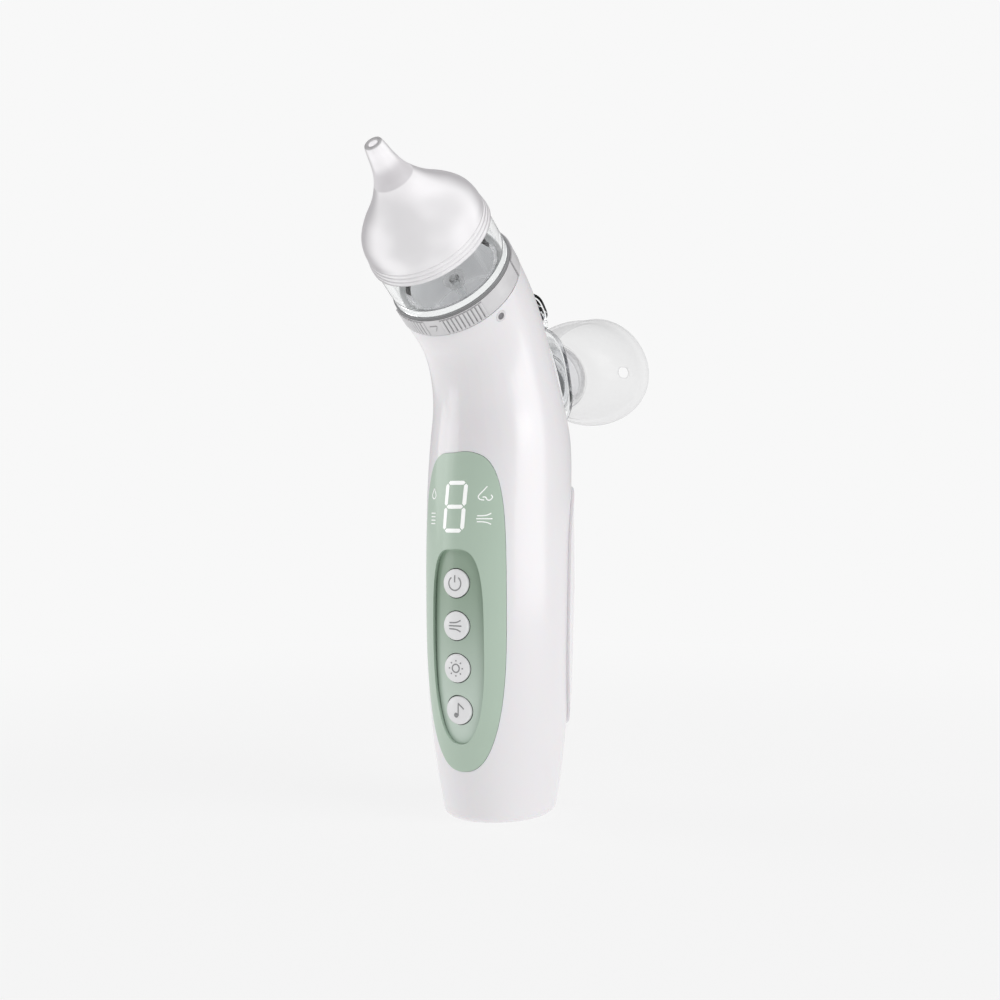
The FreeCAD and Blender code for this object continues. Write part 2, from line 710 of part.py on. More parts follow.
def exhaust_muffler():
    """Foam plug over the pump's outlet."""
    body = cylinder(4.0, PUMP_TOP_Z + 1.2, PUMP_TOP_Z + 12, -NIPPLE_OFFSET_X - 1, PUMP_Y)
    return body.cut(cylinder(NIPPLE_RADIUS + 0.05, PUMP_TOP_Z, PUMP_TOP_Z + 5.2, -NIPPLE_OFFSET_X, PUMP_Y))


def suction_tube():
    """Soft tube from the cup socket's nipple down to the pump's inlet."""
    low = V(NIPPLE_OFFSET_X, PUMP_Y, PUMP_TOP_Z + 0.3)
    low_end = low + Z_AXIS * 6
    up = V(0, -math.sin(math.radians(HEAD_TILT)), math.cos(math.radians(HEAD_TILT)))
    top = HEAD_ORIGIN + up * (SOCKET_FLOOR_LOW - 0.3)
    top_start = top - up * 5
    bend = Part.BSplineCurve()
    bend.interpolate(Points=[low_end, top_start], InitialTangent=Z_AXIS * 30, FinalTangent=up * 30)
    path = Part.Wire([Part.makeLine(low, low_end), bend.toShape(), Part.makeLine(top_start, top)])
    return pipe(path, TUBE_RADIUS).cut(pipe(path, TUBE_BORE))


def charge_board():
    """Small board that carries the charging connector."""
    x_range = (-CHARGE_BOARD_HALF_WIDTH, CHARGE_BOARD_HALF_WIDTH)
    return block(x_range, CHARGE_BOARD_Y, (CHARGE_BOARD_Z, CHARGE_BOARD_Z + 1.0))


def usb_connector():
    """Metal charging socket with its tongue, mouth down in the base."""
    low, high = 0.4, CHARGE_BOARD_Z - 0.02
    grow = 0.12

    def stadium(inset, bottom, top):
        depth = USB_HALF_DEPTH - inset
        middle = USB_HALF_WIDTH - USB_HALF_DEPTH
        slot = block((-middle, middle), (USB_Y - depth, USB_Y + depth), (bottom, top))
        return fuse([slot] + [cylinder(depth, bottom, top, x, USB_Y) for x in (-middle, middle)])

    shell = stadium(grow, low, high).cut(stadium(grow + 0.3, low - 1, high - 1.2))
    return shell.fuse(block((-3.0, 3.0), (USB_Y - 0.35, USB_Y + 0.35), (low + 0.8, high - 1.1)))


def speaker():
    """Round speaker over the sound holes."""
    body = cylinder(SPEAKER_RADIUS, WALL + 0.6, WALL + 4.0, 0, SPEAKER_Y)
    return body.fuse(cylinder(SPEAKER_RADIUS - 2.5, WALL + 3.9, WALL + 5.4, 0, SPEAKER_Y))


def speaker_gasket():
    """Foam ring between the speaker and the base."""
    return tube(SPEAKER_RADIUS, SPEAKER_RADIUS - 1.2, WALL + 0.02, WALL + 0.58, 0, SPEAKER_Y)


# ---- lamp on the neck ---------------------------------------------------------------------------

def at_lamp(shape):
    """Move a piece built upright round Z to the lamp's place, pointing out of the neck."""
    angle = math.radians(LAMP_ANGLE)
    tilt = math.radians(HEAD_TILT)
    forward = V(0, -math.cos(tilt), -math.sin(tilt))
    up = V(0, -math.sin(tilt), math.cos(tilt))
    outward = X_AXIS * math.sin(angle) + forward * math.cos(angle)
    place = HEAD_ORIGIN + up * (RING_LOW - LAMP_BELOW_RING) + outward * LAMP_REACH
    moved = shape.copy()
    moved.Placement = FreeCAD.Placement(place, FreeCAD.Rotation(Z_AXIS, outward))
    return moved


def light_bezel():
    """Pale ring round the lamp lens, flush with the neck."""
    skin = body_solid(0.05)
    return at_lamp(tube(LAMP_BEZEL_RADIUS, LAMP_RADIUS + 0.05, -LAMP_BEZEL_DEPTH, 5)).common(skin)


def light_lens():
    """Small smoked lens over the lamp."""
    skin = body_solid(-0.25)
    return at_lamp(cylinder(LAMP_RADIUS, -LAMP_LENS_DEPTH, 5)).common(skin)


def lamp_board():
    """Thin flexible board between the shell and the cup's socket, with its light-emitting diode."""
    return at_lamp(cylinder(1.5, -2.6, -2.25).fuse(cylinder(0.7, -2.3, -LAMP_LENS_DEPTH - 0.15)))


# ---- head: socket, ring, cup and nozzle ---------------------------------------------------------

def cup_socket():
    """Liner fixed in the neck: the cup's well sits in it, and it ends in the tube's nipple."""
    low = SOCKET_FLOOR_LOW
    well = CUP_WELL_RADIUS + SOCKET_FIT
    body = cylinder(well + SOCKET_WALL, low, RING_LOW + 0.05)
    body = body.fuse(cylinder(RING_BORE - 0.05, RING_LOW + 0.05, RING_TOP - 0.3))
    body = body.cut(cylinder(well, CUP_WELL_LOW - 0.6, 0))
    body = body.fuse(cylinder(NIPPLE_RADIUS, low - 5, low + 0.1))
    body = body.cut(cylinder(NIPPLE_BORE, low - 6, 0))
    body = body.cut(cylinder(FILTER_RADIUS, CUP_WELL_LOW - 1.4, 0))
    return at_head(body)


def socket_seal():
    """Soft ring on the socket's floor that seals against the cup."""
    return at_head(tube(6.0, 4.6, CUP_WELL_LOW - 0.58, CUP_WELL_LOW - 0.03))


def inlet_filter():
    """Foam disc over the socket's inlet."""
    return at_head(cylinder(FILTER_RADIUS - 0.1, CUP_WELL_LOW - 1.38, CUP_WELL_LOW - 0.7))


def lock_ring():
    """Ring under the cup: grip ribs at the front, a triangle mark, a smooth pad at the back."""
    body = tube(RING_RADIUS - 0.25, RING_BORE, RING_LOW + 0.1, RING_TOP)
    pad = tube(RING_RADIUS + 0.2, RING_BORE, RING_LOW + 0.1, RING_TOP)
    pad = pad.common(Part.makeCylinder(40, 60, V(0, 0, -40), Z_AXIS, 160).rotated(V(0, 0, 0), Z_AXIS, 10))
    ribs = []
    for side in (-1, 1):
        for step in range(RIB_COUNT):
            angle = side * (RIB_ARC[0] + (RIB_ARC[1] - RIB_ARC[0]) * step / (RIB_COUNT - 1))
            rib = cylinder(RIB_RADIUS, RING_LOW + 0.5, RING_TOP - 0.4, 0, -(RING_RADIUS - 0.35))
            ribs.append(rib.rotated(V(0, 0, 0), Z_AXIS, angle))
    return at_head(fuse([body, pad] + ribs + [triangle_mark()]))


def triangle_mark():
    """Raised triangle at the ring's front centre, pointing down to the housing."""
    middle = (RING_LOW + RING_TOP) / 2
    y = -(RING_RADIUS + 0.05)
    corners = [V(-1.2, y, middle + 0.9), V(1.2, y, middle + 0.9), V(0, y, middle - 1.1)]
    return prism(Part.makePolygon(corners + [corners[0]]), V(0, 1.2, 0))


def cup_seal():
    """Dark soft gasket between the cup's shoulder and the ring."""
    return at_head(tube(CUP_RADIUS + 0.45, CUP_WELL_RADIUS + 0.05, RING_TOP + 0.1, CUP_LOW - 0.05))


def collection_cup():
    """Clear cup: a well that nests in the neck, a wide window above it and a mouth for the nozzle."""
    well_in = CUP_WELL_RADIUS - CUP_WELL_WALL
    wall_in = CUP_RADIUS - CUP_WALL
    outer = [(0, CUP_WELL_LOW), (CUP_WELL_RADIUS, CUP_WELL_LOW), (CUP_WELL_RADIUS, CUP_LOW)]
    outer += [(CUP_RADIUS, CUP_LOW), (CUP_RADIUS, -0.3)]
    outer += [(CUP_MOUTH_RADIUS, -0.3), (CUP_MOUTH_RADIUS, CUP_TOP)]
    inner = [(CUP_MOUTH_RADIUS - 1.3, CUP_TOP), (CUP_MOUTH_RADIUS - 1.3, 0), (wall_in, -1.2)]
    inner += [(wall_in, CUP_LOW + 1.0), (well_in, CUP_LOW - 0.6), (well_in, CUP_WELL_LOW + CUP_FLOOR + 1)]
    inner += [(well_in - 1, CUP_WELL_LOW + CUP_FLOOR), (0, CUP_WELL_LOW + CUP_FLOOR)]
    body = revolve(outer + inner)
    body = body.fuse(cylinder(STEM_RADIUS, CUP_WELL_LOW + CUP_FLOOR - 0.1, STEM_TOP))
    return at_head(body.cut(cylinder(STEM_BORE, CUP_WELL_LOW - 1, STEM_TOP + 1)))


def splash_guard():
    """Mushroom-shaped cap pushed on the stem, so that liquid can't run into the suction hole."""
    low = STEM_TOP - 2.2
    cap = revolve([(0, STEM_TOP + 0.4), (STEM_RADIUS + 0.05, STEM_TOP + 0.4), (STEM_RADIUS + 0.05, low),
                   (STEM_RADIUS + 0.9, low), (STEM_RADIUS + 1.2, STEM_TOP - 0.6), (3.4, STEM_TOP - 0.2),
                   (3.2, STEM_TOP + 0.7), (1.8, STEM_TOP + 1.4), (0, STEM_TOP + 1.6)])
    return at_head(cap.cut(cylinder(0.6, STEM_TOP - 3, STEM_TOP + 3, 2.4, 0)))


def nozzle():
    """Soft nozzle: a stepped rim, a round bell and a slim tip with a hole."""
    bands = [(18.35, 0.0), (18.45, 1.1), (18.2, 1.2), (18.25, 2.3), (18.0, 2.4), (18.0, 3.6), (17.85, 3.7)]
    bell = [V(r, 0, s) for r, s in ((17.85, 3.7), (17.6, 6.5), (16.6, 9.3), (14.2, 12.4), (11.0, 15.6),
                                    (8.4, 18.6), (6.2, 21.8), (4.6, 25.0), (3.6, 28.6), (3.0, 32.0),
                                    (NOZZLE_TIP_RADIUS, NOZZLE_LENGTH))]
    hollow = [V(r, 0, s) for r, s in ((CUP_MOUTH_RADIUS - 0.6, 5.2), (14.6, 8.8), (12.0, 11.8), (9.0, 15.0),
                                      (6.2, 18.4), (4.0, 21.0), (2.2, 24.0), (NOZZLE_TIP_BORE, 27.0))]
    outside = Part.BSplineCurve()
    outside.interpolate(bell)
    inside = Part.BSplineCurve()
    inside.interpolate(hollow)
    grip = CUP_MOUTH_RADIUS + 0.05
    top = V(NOZZLE_TIP_BORE, 0, NOZZLE_LENGTH)
    chain = [V(r, 0, s) for r, s in bands]
    seat = [hollow[0], V(grip, 0, CUP_TOP + 0.1), V(grip, 0, 0.0), chain[0]]
    edges = [Part.makeLine(a, b) for a, b in zip(chain, chain[1:])]
    edges.append(outside.toShape())
    edges.append(Part.makeLine(bell[-1], top))
    edges.append(Part.makeLine(top, hollow[-1]))
    edges.append(inside.toShape())
    edges += [Part.makeLine(a, b) for a, b in zip(seat, seat[1:])]
    wire = Part.Wire(Part.__sortEdges__(edges))
    return at_head(Part.Face(wire).revolve(V(0, 0, 0), Z_AXIS, 360))


# ---- mist unit ----------------------------------------------------------------------------------

def at_lid(shape):
    """Move a piece built upright round Z to the lid's middle; its -Y side becomes the upper end."""
    moved = shape.copy()
    moved.Placement = FreeCAD.Placement(LID_ORIGIN, FreeCAD.Rotation(X_AXIS, LID_TILT - 90))
    return moved


def tank_form(shrink):
    """Rounded block that reaches from inside the neck to the tank's outer face."""
    outline = superellipse(TANK_HALF_WIDTH - shrink, TANK_HALF_HEIGHT - shrink, TANK_EXPONENT)
    wire = smooth_wire([V(a, -b - TANK_RISE, -16) for a, b in outline])
    form = prism(wire, V(0, 0, 16 - shrink))
    rim = max(form.Edges, key=lambda edge: edge.BoundBox.ZMin)
    return at_mist(form.makeFillet(TANK_ROUND - shrink / 2, [rim]))


def spout_form(shrink):
    """Block under the lid that reaches down into the neck."""
    outline = superellipse(LID_HALF_WIDTH - 0.4 - shrink, LID_HALF_LENGTH - 0.4 - shrink, LID_EXPONENT)
    wire = smooth_wire([V(a, b, -12) for a, b in outline])
    return at_lid(prism(wire, V(0, 0, 12 - LID_THICKNESS - 0.1 - shrink)))


def spout_bridge(shrink):
    """Solid that joins the spout to the tank's upper end."""
    half = LID_HALF_WIDTH - 2.4 - shrink
    low = V(0, 17.6, 143.5) - Y_AXIS * shrink
    high = V(0, 13.0, 149.0) - Y_AXIS * shrink
    corners = [low, high, high + V(0, -9, -3), low + V(0, -9, -3)]
    wire = Part.makePolygon([corner - X_AXIS * half for corner in corners + [corners[0]]])
    return prism(wire, X_AXIS * (2 * half))


def pin_column(radius, side):
    """Column along the mist unit's axis through one of the two contacts."""
    return at_mist(cylinder(radius, -12, 0, side * PIN_OFFSET_X, PIN_OFFSET_Y))


def lid_ears():
    """Two ears on the tank that carry the lid's hinge pins."""
    ears = []
    for side in (-1, 1):
        low, high = sorted((side * (LID_HINGE_BARREL + 0.1), side * (LID_HINGE_BARREL + 1.9)))
        middle = -LID_THICKNESS / 2
        ear = Part.makeCylinder(LID_HINGE_RADIUS + 0.2, high - low, V(low, LID_HINGE_Y, middle), X_AXIS)
        foot = block((low, high), (LID_HINGE_Y - 1.2, LID_HINGE_Y + 1.2), (-6, middle))
        bore = Part.makeCylinder(LID_HINGE_PIN + SHAFT_CLEARANCE, 30, V(-15, LID_HINGE_Y, middle), X_AXIS)
        ears.append(at_lid(ear.fuse(foot).cut(bore)))
    return ears


def medicine_tank():
    """Clear tank shaped to the back of the neck, with a filling spout and hinge ears at its top."""
    outer = tank_form(0.0).fuse(spout_form(0.0)).fuse(spout_bridge(0.0))
    outer = outer.cut(lid_clearance())
    for ear in lid_ears():
        outer = outer.fuse(ear)
    outer = outer.cut(body_solid(TANK_GAP, 6.0))
    hollow = tank_form(TANK_WALL).fuse(spout_form(TANK_WALL)).fuse(spout_bridge(TANK_WALL))
    tank = outer.cut(hollow.cut(body_solid(TANK_GAP + TANK_WALL, 6.0)))
    tank = tank.cut(at_mist(cylinder(MESH_OPENING, -3, 1)))
    tank = tank.cut(at_lid(cylinder(FILL_RADIUS, -3.5, 1, 0, -0.5)))
    for side in (-1, 1):
        tank = tank.cut(pin_column(PIN_RADIUS + 0.35, side).common(body_solid(1.0)))
    return max(tank.Solids, key=lambda solid: solid.Volume)


def lid_clearance():
    """Room for the lid's plate and round its hinge barrel."""
    outline = superellipse(LID_HALF_WIDTH + 0.2, LID_HALF_LENGTH + 0.2, LID_EXPONENT)
    plate = prism(smooth_wire([V(a, b, -LID_THICKNESS - 0.1) for a, b in outline]), V(0, 0, 6))
    start = V(-LID_HINGE_BARREL - 0.1, LID_HINGE_Y, -LID_THICKNESS / 2)
    barrel = Part.makeCylinder(LID_HINGE_RADIUS + 0.25, 2 * LID_HINGE_BARREL + 0.2, start, X_AXIS)
    return at_lid(plate.fuse(barrel))


def tank_contacts():
    """Two contact buttons let into the tank's back wall."""
    ring = body_solid(0.95).cut(body_solid(TANK_GAP + 0.05))
    return Part.makeCompound([pin_column(PIN_RADIUS + 0.3, side).common(ring) for side in (-1, 1)])


def contact_pins():
    """Two sprung contact pins in the housing that meet the tank's contacts."""
    form = body_solid(0.05)
    return Part.makeCompound([pin_column(PIN_RADIUS, side).common(form) for side in (-1, 1)])


def mesh_driver_board():
    """Small board inside the neck that drives the mesh; it carries the contact pins' feet."""
    return at_mist(block((-8, 8), (-6, 11), (-13.2, -12.1)))


def mesh_disc():
    """Vibrating mesh in its metal ring."""
    return at_mist(cylinder(MESH_RADIUS, MESH_FLOOR, MESH_FLOOR + MESH_THICKNESS))


def mesh_seal():
    """Soft ring that seals the mesh against the tank's face."""
    return at_mist(tube(MESH_RADIUS, MESH_OPENING + 0.3, 0.03, MESH_FLOOR - 0.02))


def mesh_retainer():
    """Ring that presses the mesh on its seal."""
    low = MESH_FLOOR + MESH_THICKNESS + 0.02
    return at_mist(tube(MESH_RADIUS + 0.2, MESH_OPENING + 0.8, low, low + 1.4))


def mask_adapter():
    """Clear ring fixed on the tank's face that the mask pushes over."""
    ring = tube(ADAPTER_RADIUS, ADAPTER_RADIUS - ADAPTER_WALL, 0.03, ADAPTER_LENGTH)
    return at_mist(ring.fuse(tube(ADAPTER_RADIUS + 0.5, ADAPTER_RADIUS - 0.5, 0.03, 1.6)))


def tank_lid():
    """Thin lid over the filling spout, with a hinge barrel, two pins and a lift tab."""
    outline = superellipse(LID_HALF_WIDTH, LID_HALF_LENGTH, LID_EXPONENT)
    plate = prism(smooth_wire([V(a, b, -LID_THICKNESS) for a, b in outline]), V(0, 0, LID_THICKNESS))
    rim = max(plate.Edges, key=lambda edge: edge.BoundBox.ZMin)
    plate = plate.makeFillet(0.5, [rim])
    tab = block((-2.5, 2.5), (-LID_HALF_LENGTH - 1.6, 0), (-LID_THICKNESS, -0.5))
    plate = plate.fuse(tab)
    for side in (-1, 1):
        low, high = sorted((side * (LID_HINGE_BARREL - 0.05), side * 20))
        plate = plate.cut(block((low, high), (LID_HINGE_Y - LID_HINGE_RADIUS - 0.6, 20), (-5, 5)))
    middle = -LID_THICKNESS / 2
    start = V(-LID_HINGE_BARREL, LID_HINGE_Y, middle)
    plate = plate.fuse(Part.makeCylinder(LID_HINGE_RADIUS, 2 * LID_HINGE_BARREL, start, X_AXIS))
    pin_start = V(-LID_HINGE_BARREL - 1.7, LID_HINGE_Y, middle)
    plate = plate.fuse(Part.makeCylinder(LID_HINGE_PIN, 2 * (LID_HINGE_BARREL + 1.7), pin_start, X_AXIS))
    return at_lid(plate)


def lid_plug():
    """Soft plug under the lid that closes the filling hole."""
    return at_lid(cylinder(FILL_RADIUS - 0.35, -LID_THICKNESS - 0.9, -LID_THICKNESS - 0.02, 0, -0.5))


def mask_wire(share, shrink):
    """Egg-shaped section of the mask at a share of the way from its neck to its rim."""
    start = MIST_ORIGIN + mist_axis() * ADAPTER_LENGTH
    growth = (1 - max(1 - share, 0.0) ** MASK_BOWL_EXPONENT) ** (1 / MASK_BOWL_EXPONENT)
    centre = start + (MASK_RIM_CENTRE - start) * share + Z_AXIS * (0.8 * math.sin(math.pi * share))
    lip = MASK_LIP * (max(share - MASK_LIP_START, 0.0) / (1 - MASK_LIP_START)) ** 2
    neck = MASK_NECK_RADIUS - 0.5
    half_width = neck + (MASK_RIM_HALF_WIDTH - neck) * growth + lip - shrink
    half_height = neck + (MASK_RIM_HALF_HEIGHT - neck) * growth + lip - shrink
    tilt = math.radians(MIST_TILT) * (1 - share)
    upward = V(0, -math.sin(tilt), math.cos(tilt))
    points = []
    for side, rise in superellipse(1.0, 1.0, 2.0):
        width = half_width * (1 - MASK_EGG * growth * rise)
        points.append(centre + X_AXIS * (side * width) + upward * (rise * half_height))
    return smooth_wire(points)


def mist_axis():
    """Direction in which the mist unit points."""
    tilt = math.radians(MIST_TILT)
    return V(0, math.cos(tilt), math.sin(tilt))


def nose_mask():
    """Clear soft mask: a sleeve over the adapter ring, a bowl, a flared lip and two side vents."""
    steps = 8
    shares = [1 - math.cos(math.pi / 2 * step / steps) for step in range(steps)]
    shares += [MASK_LIP_START, 1.0]
    outer = Part.makeLoft([mask_wire(share, 0.0) for share in shares], True)
    first = MASK_WALL / (MASK_RIM_CENTRE.y - MIST_ORIGIN.y - ADAPTER_LENGTH)
    inner_shares = [first + (1 - first) * share for share in shares] + [1.04]
    inner = Part.makeLoft([mask_wire(share, MASK_WALL) for share in inner_shares], True)
    mask = outer.cut(inner)
    mask = mask.fuse(at_mist(cylinder(MASK_NECK_RADIUS, MASK_NECK_LOW, ADAPTER_LENGTH + 0.7)))
    mask = mask.cut(at_mist(cylinder(ADAPTER_RADIUS + 0.05, 0, ADAPTER_LENGTH + 3)))
    for side in (-1, 1):
        mask = mask.cut(vent(side))
    return mask


def vent(side):
    """Slot-shaped cutter for one side vent."""
    half = MASK_VENT_HALF_LENGTH - MASK_VENT_RADIUS
    slot = block((-half, half), (-MASK_VENT_RADIUS, MASK_VENT_RADIUS), (-4, 9))
    slot = fuse([slot] + [cylinder(MASK_VENT_RADIUS, -4, 9, x) for x in (-half, half)])
    angle = math.radians(MASK_VENT_ANGLE)
    turn = FreeCAD.Rotation(V(side * math.cos(angle), side * math.sin(angle), 0), Z_AXIS,
                            V(side * math.sin(angle), -math.cos(angle), 0), "XZY")
    centre = V(side * MASK_VENT_CENTRE.x, MASK_VENT_CENTRE.y, MASK_VENT_CENTRE.z)
    slot.Placement = FreeCAD.Placement(centre, turn)
    return slot


# ---- leads --------------------------------------------------------------------------------------

def lead(points, radius):
    """Thin wire through points."""
    curve = Part.BSplineCurve()
    curve.interpolate([V(*point) for point in points])
    return pipe(Part.Wire(curve.toShape()), radius)


def motor_leads():
    """Two wires from the motor's foot round the frame to the board's edges."""
    z = MOTOR_Z[0] - 0.4
    wires = []
    for side in (-1, 1):
        route = [(8, PUMP_Y, z), (12.4, 0, z), (14.0, -6, z), (13.4, -12, z), (10.65, -15.9, z)]
        route = [(side * x, y, height) for x, y, height in route]
        wires.append(lead(route, MOTOR_LEAD_RADIUS))
    return Part.makeCompound(wires)


def battery_leads():
    """One wire from the cell's cap to the main board, one from its foot to the charging board."""
    top = BATTERY_Z[1] + 0.3
    to_board = [(2, BATTERY_Y, top), (9, BATTERY_Y, top - 0.1), (13.6, 2, 59), (14.2, -5, 58)]
    to_board += [(13.4, -12, 57), (10.65, -15.9, 56)]
    low = BATTERY_Z[0] - 0.5
    to_charger = [(-2, BATTERY_Y, low), (-8.0, 1, low), (-6.5, -6, CHARGE_BOARD_Z + 1.3)]
    return Part.makeCompound([lead(route, BATTERY_LEAD_RADIUS) for route in (to_board, to_charger)])


for name, shape in (
    ("main_housing", main_housing()),
    ("rear_cover", rear_cover()),
    ("control_panel", control_panel()),
    ("digit_light_guide", digit_light_guide()),
    ("tact_switches", tact_switches()),
    ("main_board", main_board()),
    ("board_screws", board_screws()),
    ("display_module", display_module()),
    ("inner_frame", inner_frame()),
    ("battery_cell", battery_cell()),
    ("pump_motor", pump_motor()),
    ("motor_shaft", motor_shaft()),
    ("pump_eccentric", pump_eccentric()),
    ("pump_housing", pump_housing()),
    ("pump_rocker", pump_rocker()),
    ("pump_diaphragm", pump_diaphragm()),
    ("pump_cover", pump_cover()),
    ("pump_valves", pump_valves()),
    ("pump_screws", pump_screws()),
    ("pump_sleeve", pump_sleeve()),
    ("exhaust_muffler", exhaust_muffler()),
    ("suction_tube", suction_tube()),
    ("charge_board", charge_board()),
    ("usb_connector", usb_connector()),
    ("speaker", speaker()),
    ("speaker_gasket", speaker_gasket()),
    ("light_bezel", light_bezel()),
    ("light_lens", light_lens()),
    ("lamp_board", lamp_board()),
    ("cup_socket", cup_socket()),
    ("socket_seal", socket_seal()),
    ("inlet_filter", inlet_filter()),
    ("lock_ring", lock_ring()),
    ("cup_seal", cup_seal()),
    ("collection_cup", collection_cup()),
    ("splash_guard", splash_guard()),
    ("nozzle", nozzle()),
    ("medicine_tank", medicine_tank()),
    ("tank_contacts", tank_contacts()),
    ("contact_pins", contact_pins()),
    ("mesh_driver_board", mesh_driver_board()),
    ("mesh_disc", mesh_disc()),
    ("mesh_seal", mesh_seal()),
    ("mesh_retainer", mesh_retainer()),
    ("mask_adapter", mask_adapter()),
    ("tank_lid", tank_lid()),
    ("lid_plug", lid_plug()),
    ("nose_mask", nose_mask()),
    ("motor_leads", motor_leads()),
    ("battery_leads", battery_leads()),
):
    save(name, shape)
for name, height in zip(BUTTON_NAMES, button_heights()):
    save(name, button(height))
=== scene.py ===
"""Looks of a hand-held nasal aspirator with a mist unit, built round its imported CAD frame."""

import json
import math

import bpy
from mathutils import Matrix, Vector
from mathutils.bvhtree import BVHTree

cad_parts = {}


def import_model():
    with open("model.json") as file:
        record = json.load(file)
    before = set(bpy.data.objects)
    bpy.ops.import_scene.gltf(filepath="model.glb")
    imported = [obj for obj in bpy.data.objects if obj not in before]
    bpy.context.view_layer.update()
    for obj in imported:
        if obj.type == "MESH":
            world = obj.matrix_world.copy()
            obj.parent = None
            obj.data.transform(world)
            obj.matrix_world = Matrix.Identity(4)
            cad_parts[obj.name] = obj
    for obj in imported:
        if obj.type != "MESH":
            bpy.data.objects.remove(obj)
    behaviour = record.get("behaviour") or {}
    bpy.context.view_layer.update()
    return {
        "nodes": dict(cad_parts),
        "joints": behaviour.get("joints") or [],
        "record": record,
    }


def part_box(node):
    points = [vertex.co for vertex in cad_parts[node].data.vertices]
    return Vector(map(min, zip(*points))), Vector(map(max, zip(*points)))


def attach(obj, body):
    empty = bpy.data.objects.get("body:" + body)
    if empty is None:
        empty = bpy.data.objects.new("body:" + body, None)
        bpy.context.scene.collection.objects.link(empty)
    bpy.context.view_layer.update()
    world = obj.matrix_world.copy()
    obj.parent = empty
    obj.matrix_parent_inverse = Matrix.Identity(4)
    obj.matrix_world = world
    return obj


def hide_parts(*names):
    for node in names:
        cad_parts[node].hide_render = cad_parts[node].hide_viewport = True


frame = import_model()

# Metres and the row's frame: +Z up, -Y the front (panel and nozzle), +Y the back (tank and mask).
MM = 0.001
JOINTS = {joint["name"]: joint for joint in frame["joints"]}


# ---- places from the frame ----------------------------------------------------------------------

def upright_frame(origin, axis):
    """Matrix of a tilted frame: Z along the axis, X kept, Y in the middle plane."""
    up = Vector(axis).normalized()
    back = up.cross(Vector((1, 0, 0)))
    turn = Matrix((Vector((1, 0, 0)), back, up)).transposed()
    return Matrix.Translation(Vector(origin)) @ turn.to_4x4()


def middle(node):
    """Centre of a CAD node's box."""
    low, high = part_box(node)
    return (low + high) / 2


def measure(node, place):
    """Largest radius, lowest and highest point of a CAD node in a tilted frame."""
    inverse = place.inverted()
    points = [inverse @ vertex.co for vertex in frame["nodes"][node].data.vertices]
    heights = [point.z for point in points]
    return max(math.hypot(point.x, point.y) for point in points), min(heights), max(heights)


HEAD = upright_frame(JOINTS["lock_ring_turn"]["pos_m"], JOINTS["lock_ring_turn"]["axis"])
MIST = upright_frame(middle("mesh_disc"), JOINTS["mask_pull"]["axis"])


# ---- node materials -----------------------------------------------------------------------------

def srgb(red, green, blue):
    """Linear colour from screen values of 0 to 255."""
    def linear(value):
        share = value / 255
        return share / 12.92 if share <= 0.04045 else ((share + 0.055) / 1.055) ** 2.4
    return (linear(red), linear(green), linear(blue), 1.0)


def shaded(colour, factor):
    """The colour made lighter or darker."""
    return tuple(min(channel * factor, 1.0) for channel in colour[:3]) + (1.0,)


def add(material, kind, settings=None, **inputs):
    """Add a shader node. An input is a value or the output that feeds it; _ stands for a space."""
    tree = material.node_tree
    node = tree.nodes.new("ShaderNode" + kind)
    for key, value in (settings or {}).items():
        setattr(node, key, value)
    for key, value in inputs.items():
        place_in(tree, node.inputs[key.replace("_", " ")], value)
    return node


def place_in(tree, socket, value):
    """Give a socket its value, or link the output that feeds it."""
    if isinstance(value, bpy.types.NodeSocket):
        tree.links.new(value, socket)
    else:
        socket.default_value = value


def calculate(material, operation, first, second=0.0):
    """Output of one maths node."""
    node = add(material, "Math", {"operation": operation})
    place_in(material.node_tree, node.inputs[0], first)
    place_in(material.node_tree, node.inputs[1], second)
    return node.outputs[0]


def blank(name):
    """Material with an empty node tree."""
    material = bpy.data.materials.new(name)
    material.use_nodes = True
    material.node_tree.nodes.clear()
    return material


def finished(material, surface):
    """Connect the surface to the material's output."""
    add(material, "OutputMaterial", Surface=surface)
    return material


def spot(material):
    """Position on the object at rest."""
    return add(material, "TexCoord").outputs["Object"]


def noise(material, scale, detail=3.0, stretch=(1, 1, 1)):
    """Soft noise; the scale is in cycles per metre."""
    mapped = add(material, "Mapping", Vector=spot(material), Scale=stretch)
    return add(material, "TexNoise", Vector=mapped.outputs[0], Scale=scale, Detail=detail).outputs["Fac"]


def between(material, factor, low, high):
    """Number that runs from low to high as the factor runs from 0 to 1."""
    node = add(material, "MapRange", Value=factor, To_Min=low, To_Max=high)
    return node.outputs[0]


def ramp(material, value, low, high):
    """0 below low, 1 above high and smooth between."""
    settings = {"interpolation_type": "SMOOTHSTEP"}
    return add(material, "MapRange", settings, Value=value, From_Min=low, From_Max=high).outputs[0]


def mixed_colour(material, factor, first, second):
    """Colour between two others."""
    node = add(material, "Mix", {"data_type": "RGBA"})
    place_in(material.node_tree, node.inputs[0], factor)
    place_in(material.node_tree, node.inputs[6], first)
    place_in(material.node_tree, node.inputs[7], second)
    return node.outputs[2]


def mixed_shader(material, factor, first, second):
    """Surface between two others: the first where the factor is 0, the second where it is 1."""
    mix = add(material, "MixShader", Fac=factor)
    place_in(material.node_tree, mix.inputs[1], first)
    place_in(material.node_tree, mix.inputs[2], second)
    return mix.outputs[0]


def bump(material, height, depth, strength=1.0):
    """Surface relief of the given depth in metres."""
    return add(material, "Bump", Height=height, Distance=depth, Strength=strength).outputs[0]


def painted_gap_shade(material, reach, dark, light, own=False):
    """Factor for painted shade in gaps: 0 in narrow gaps and 1 on open surfaces; own leaves other pieces
    out.
    """
    settings = {"samples": 8, "only_local": own}
    openness = add(material, "AmbientOcclusion", settings, Distance=reach).outputs["AO"]
    return ramp(material, openness, dark, light)


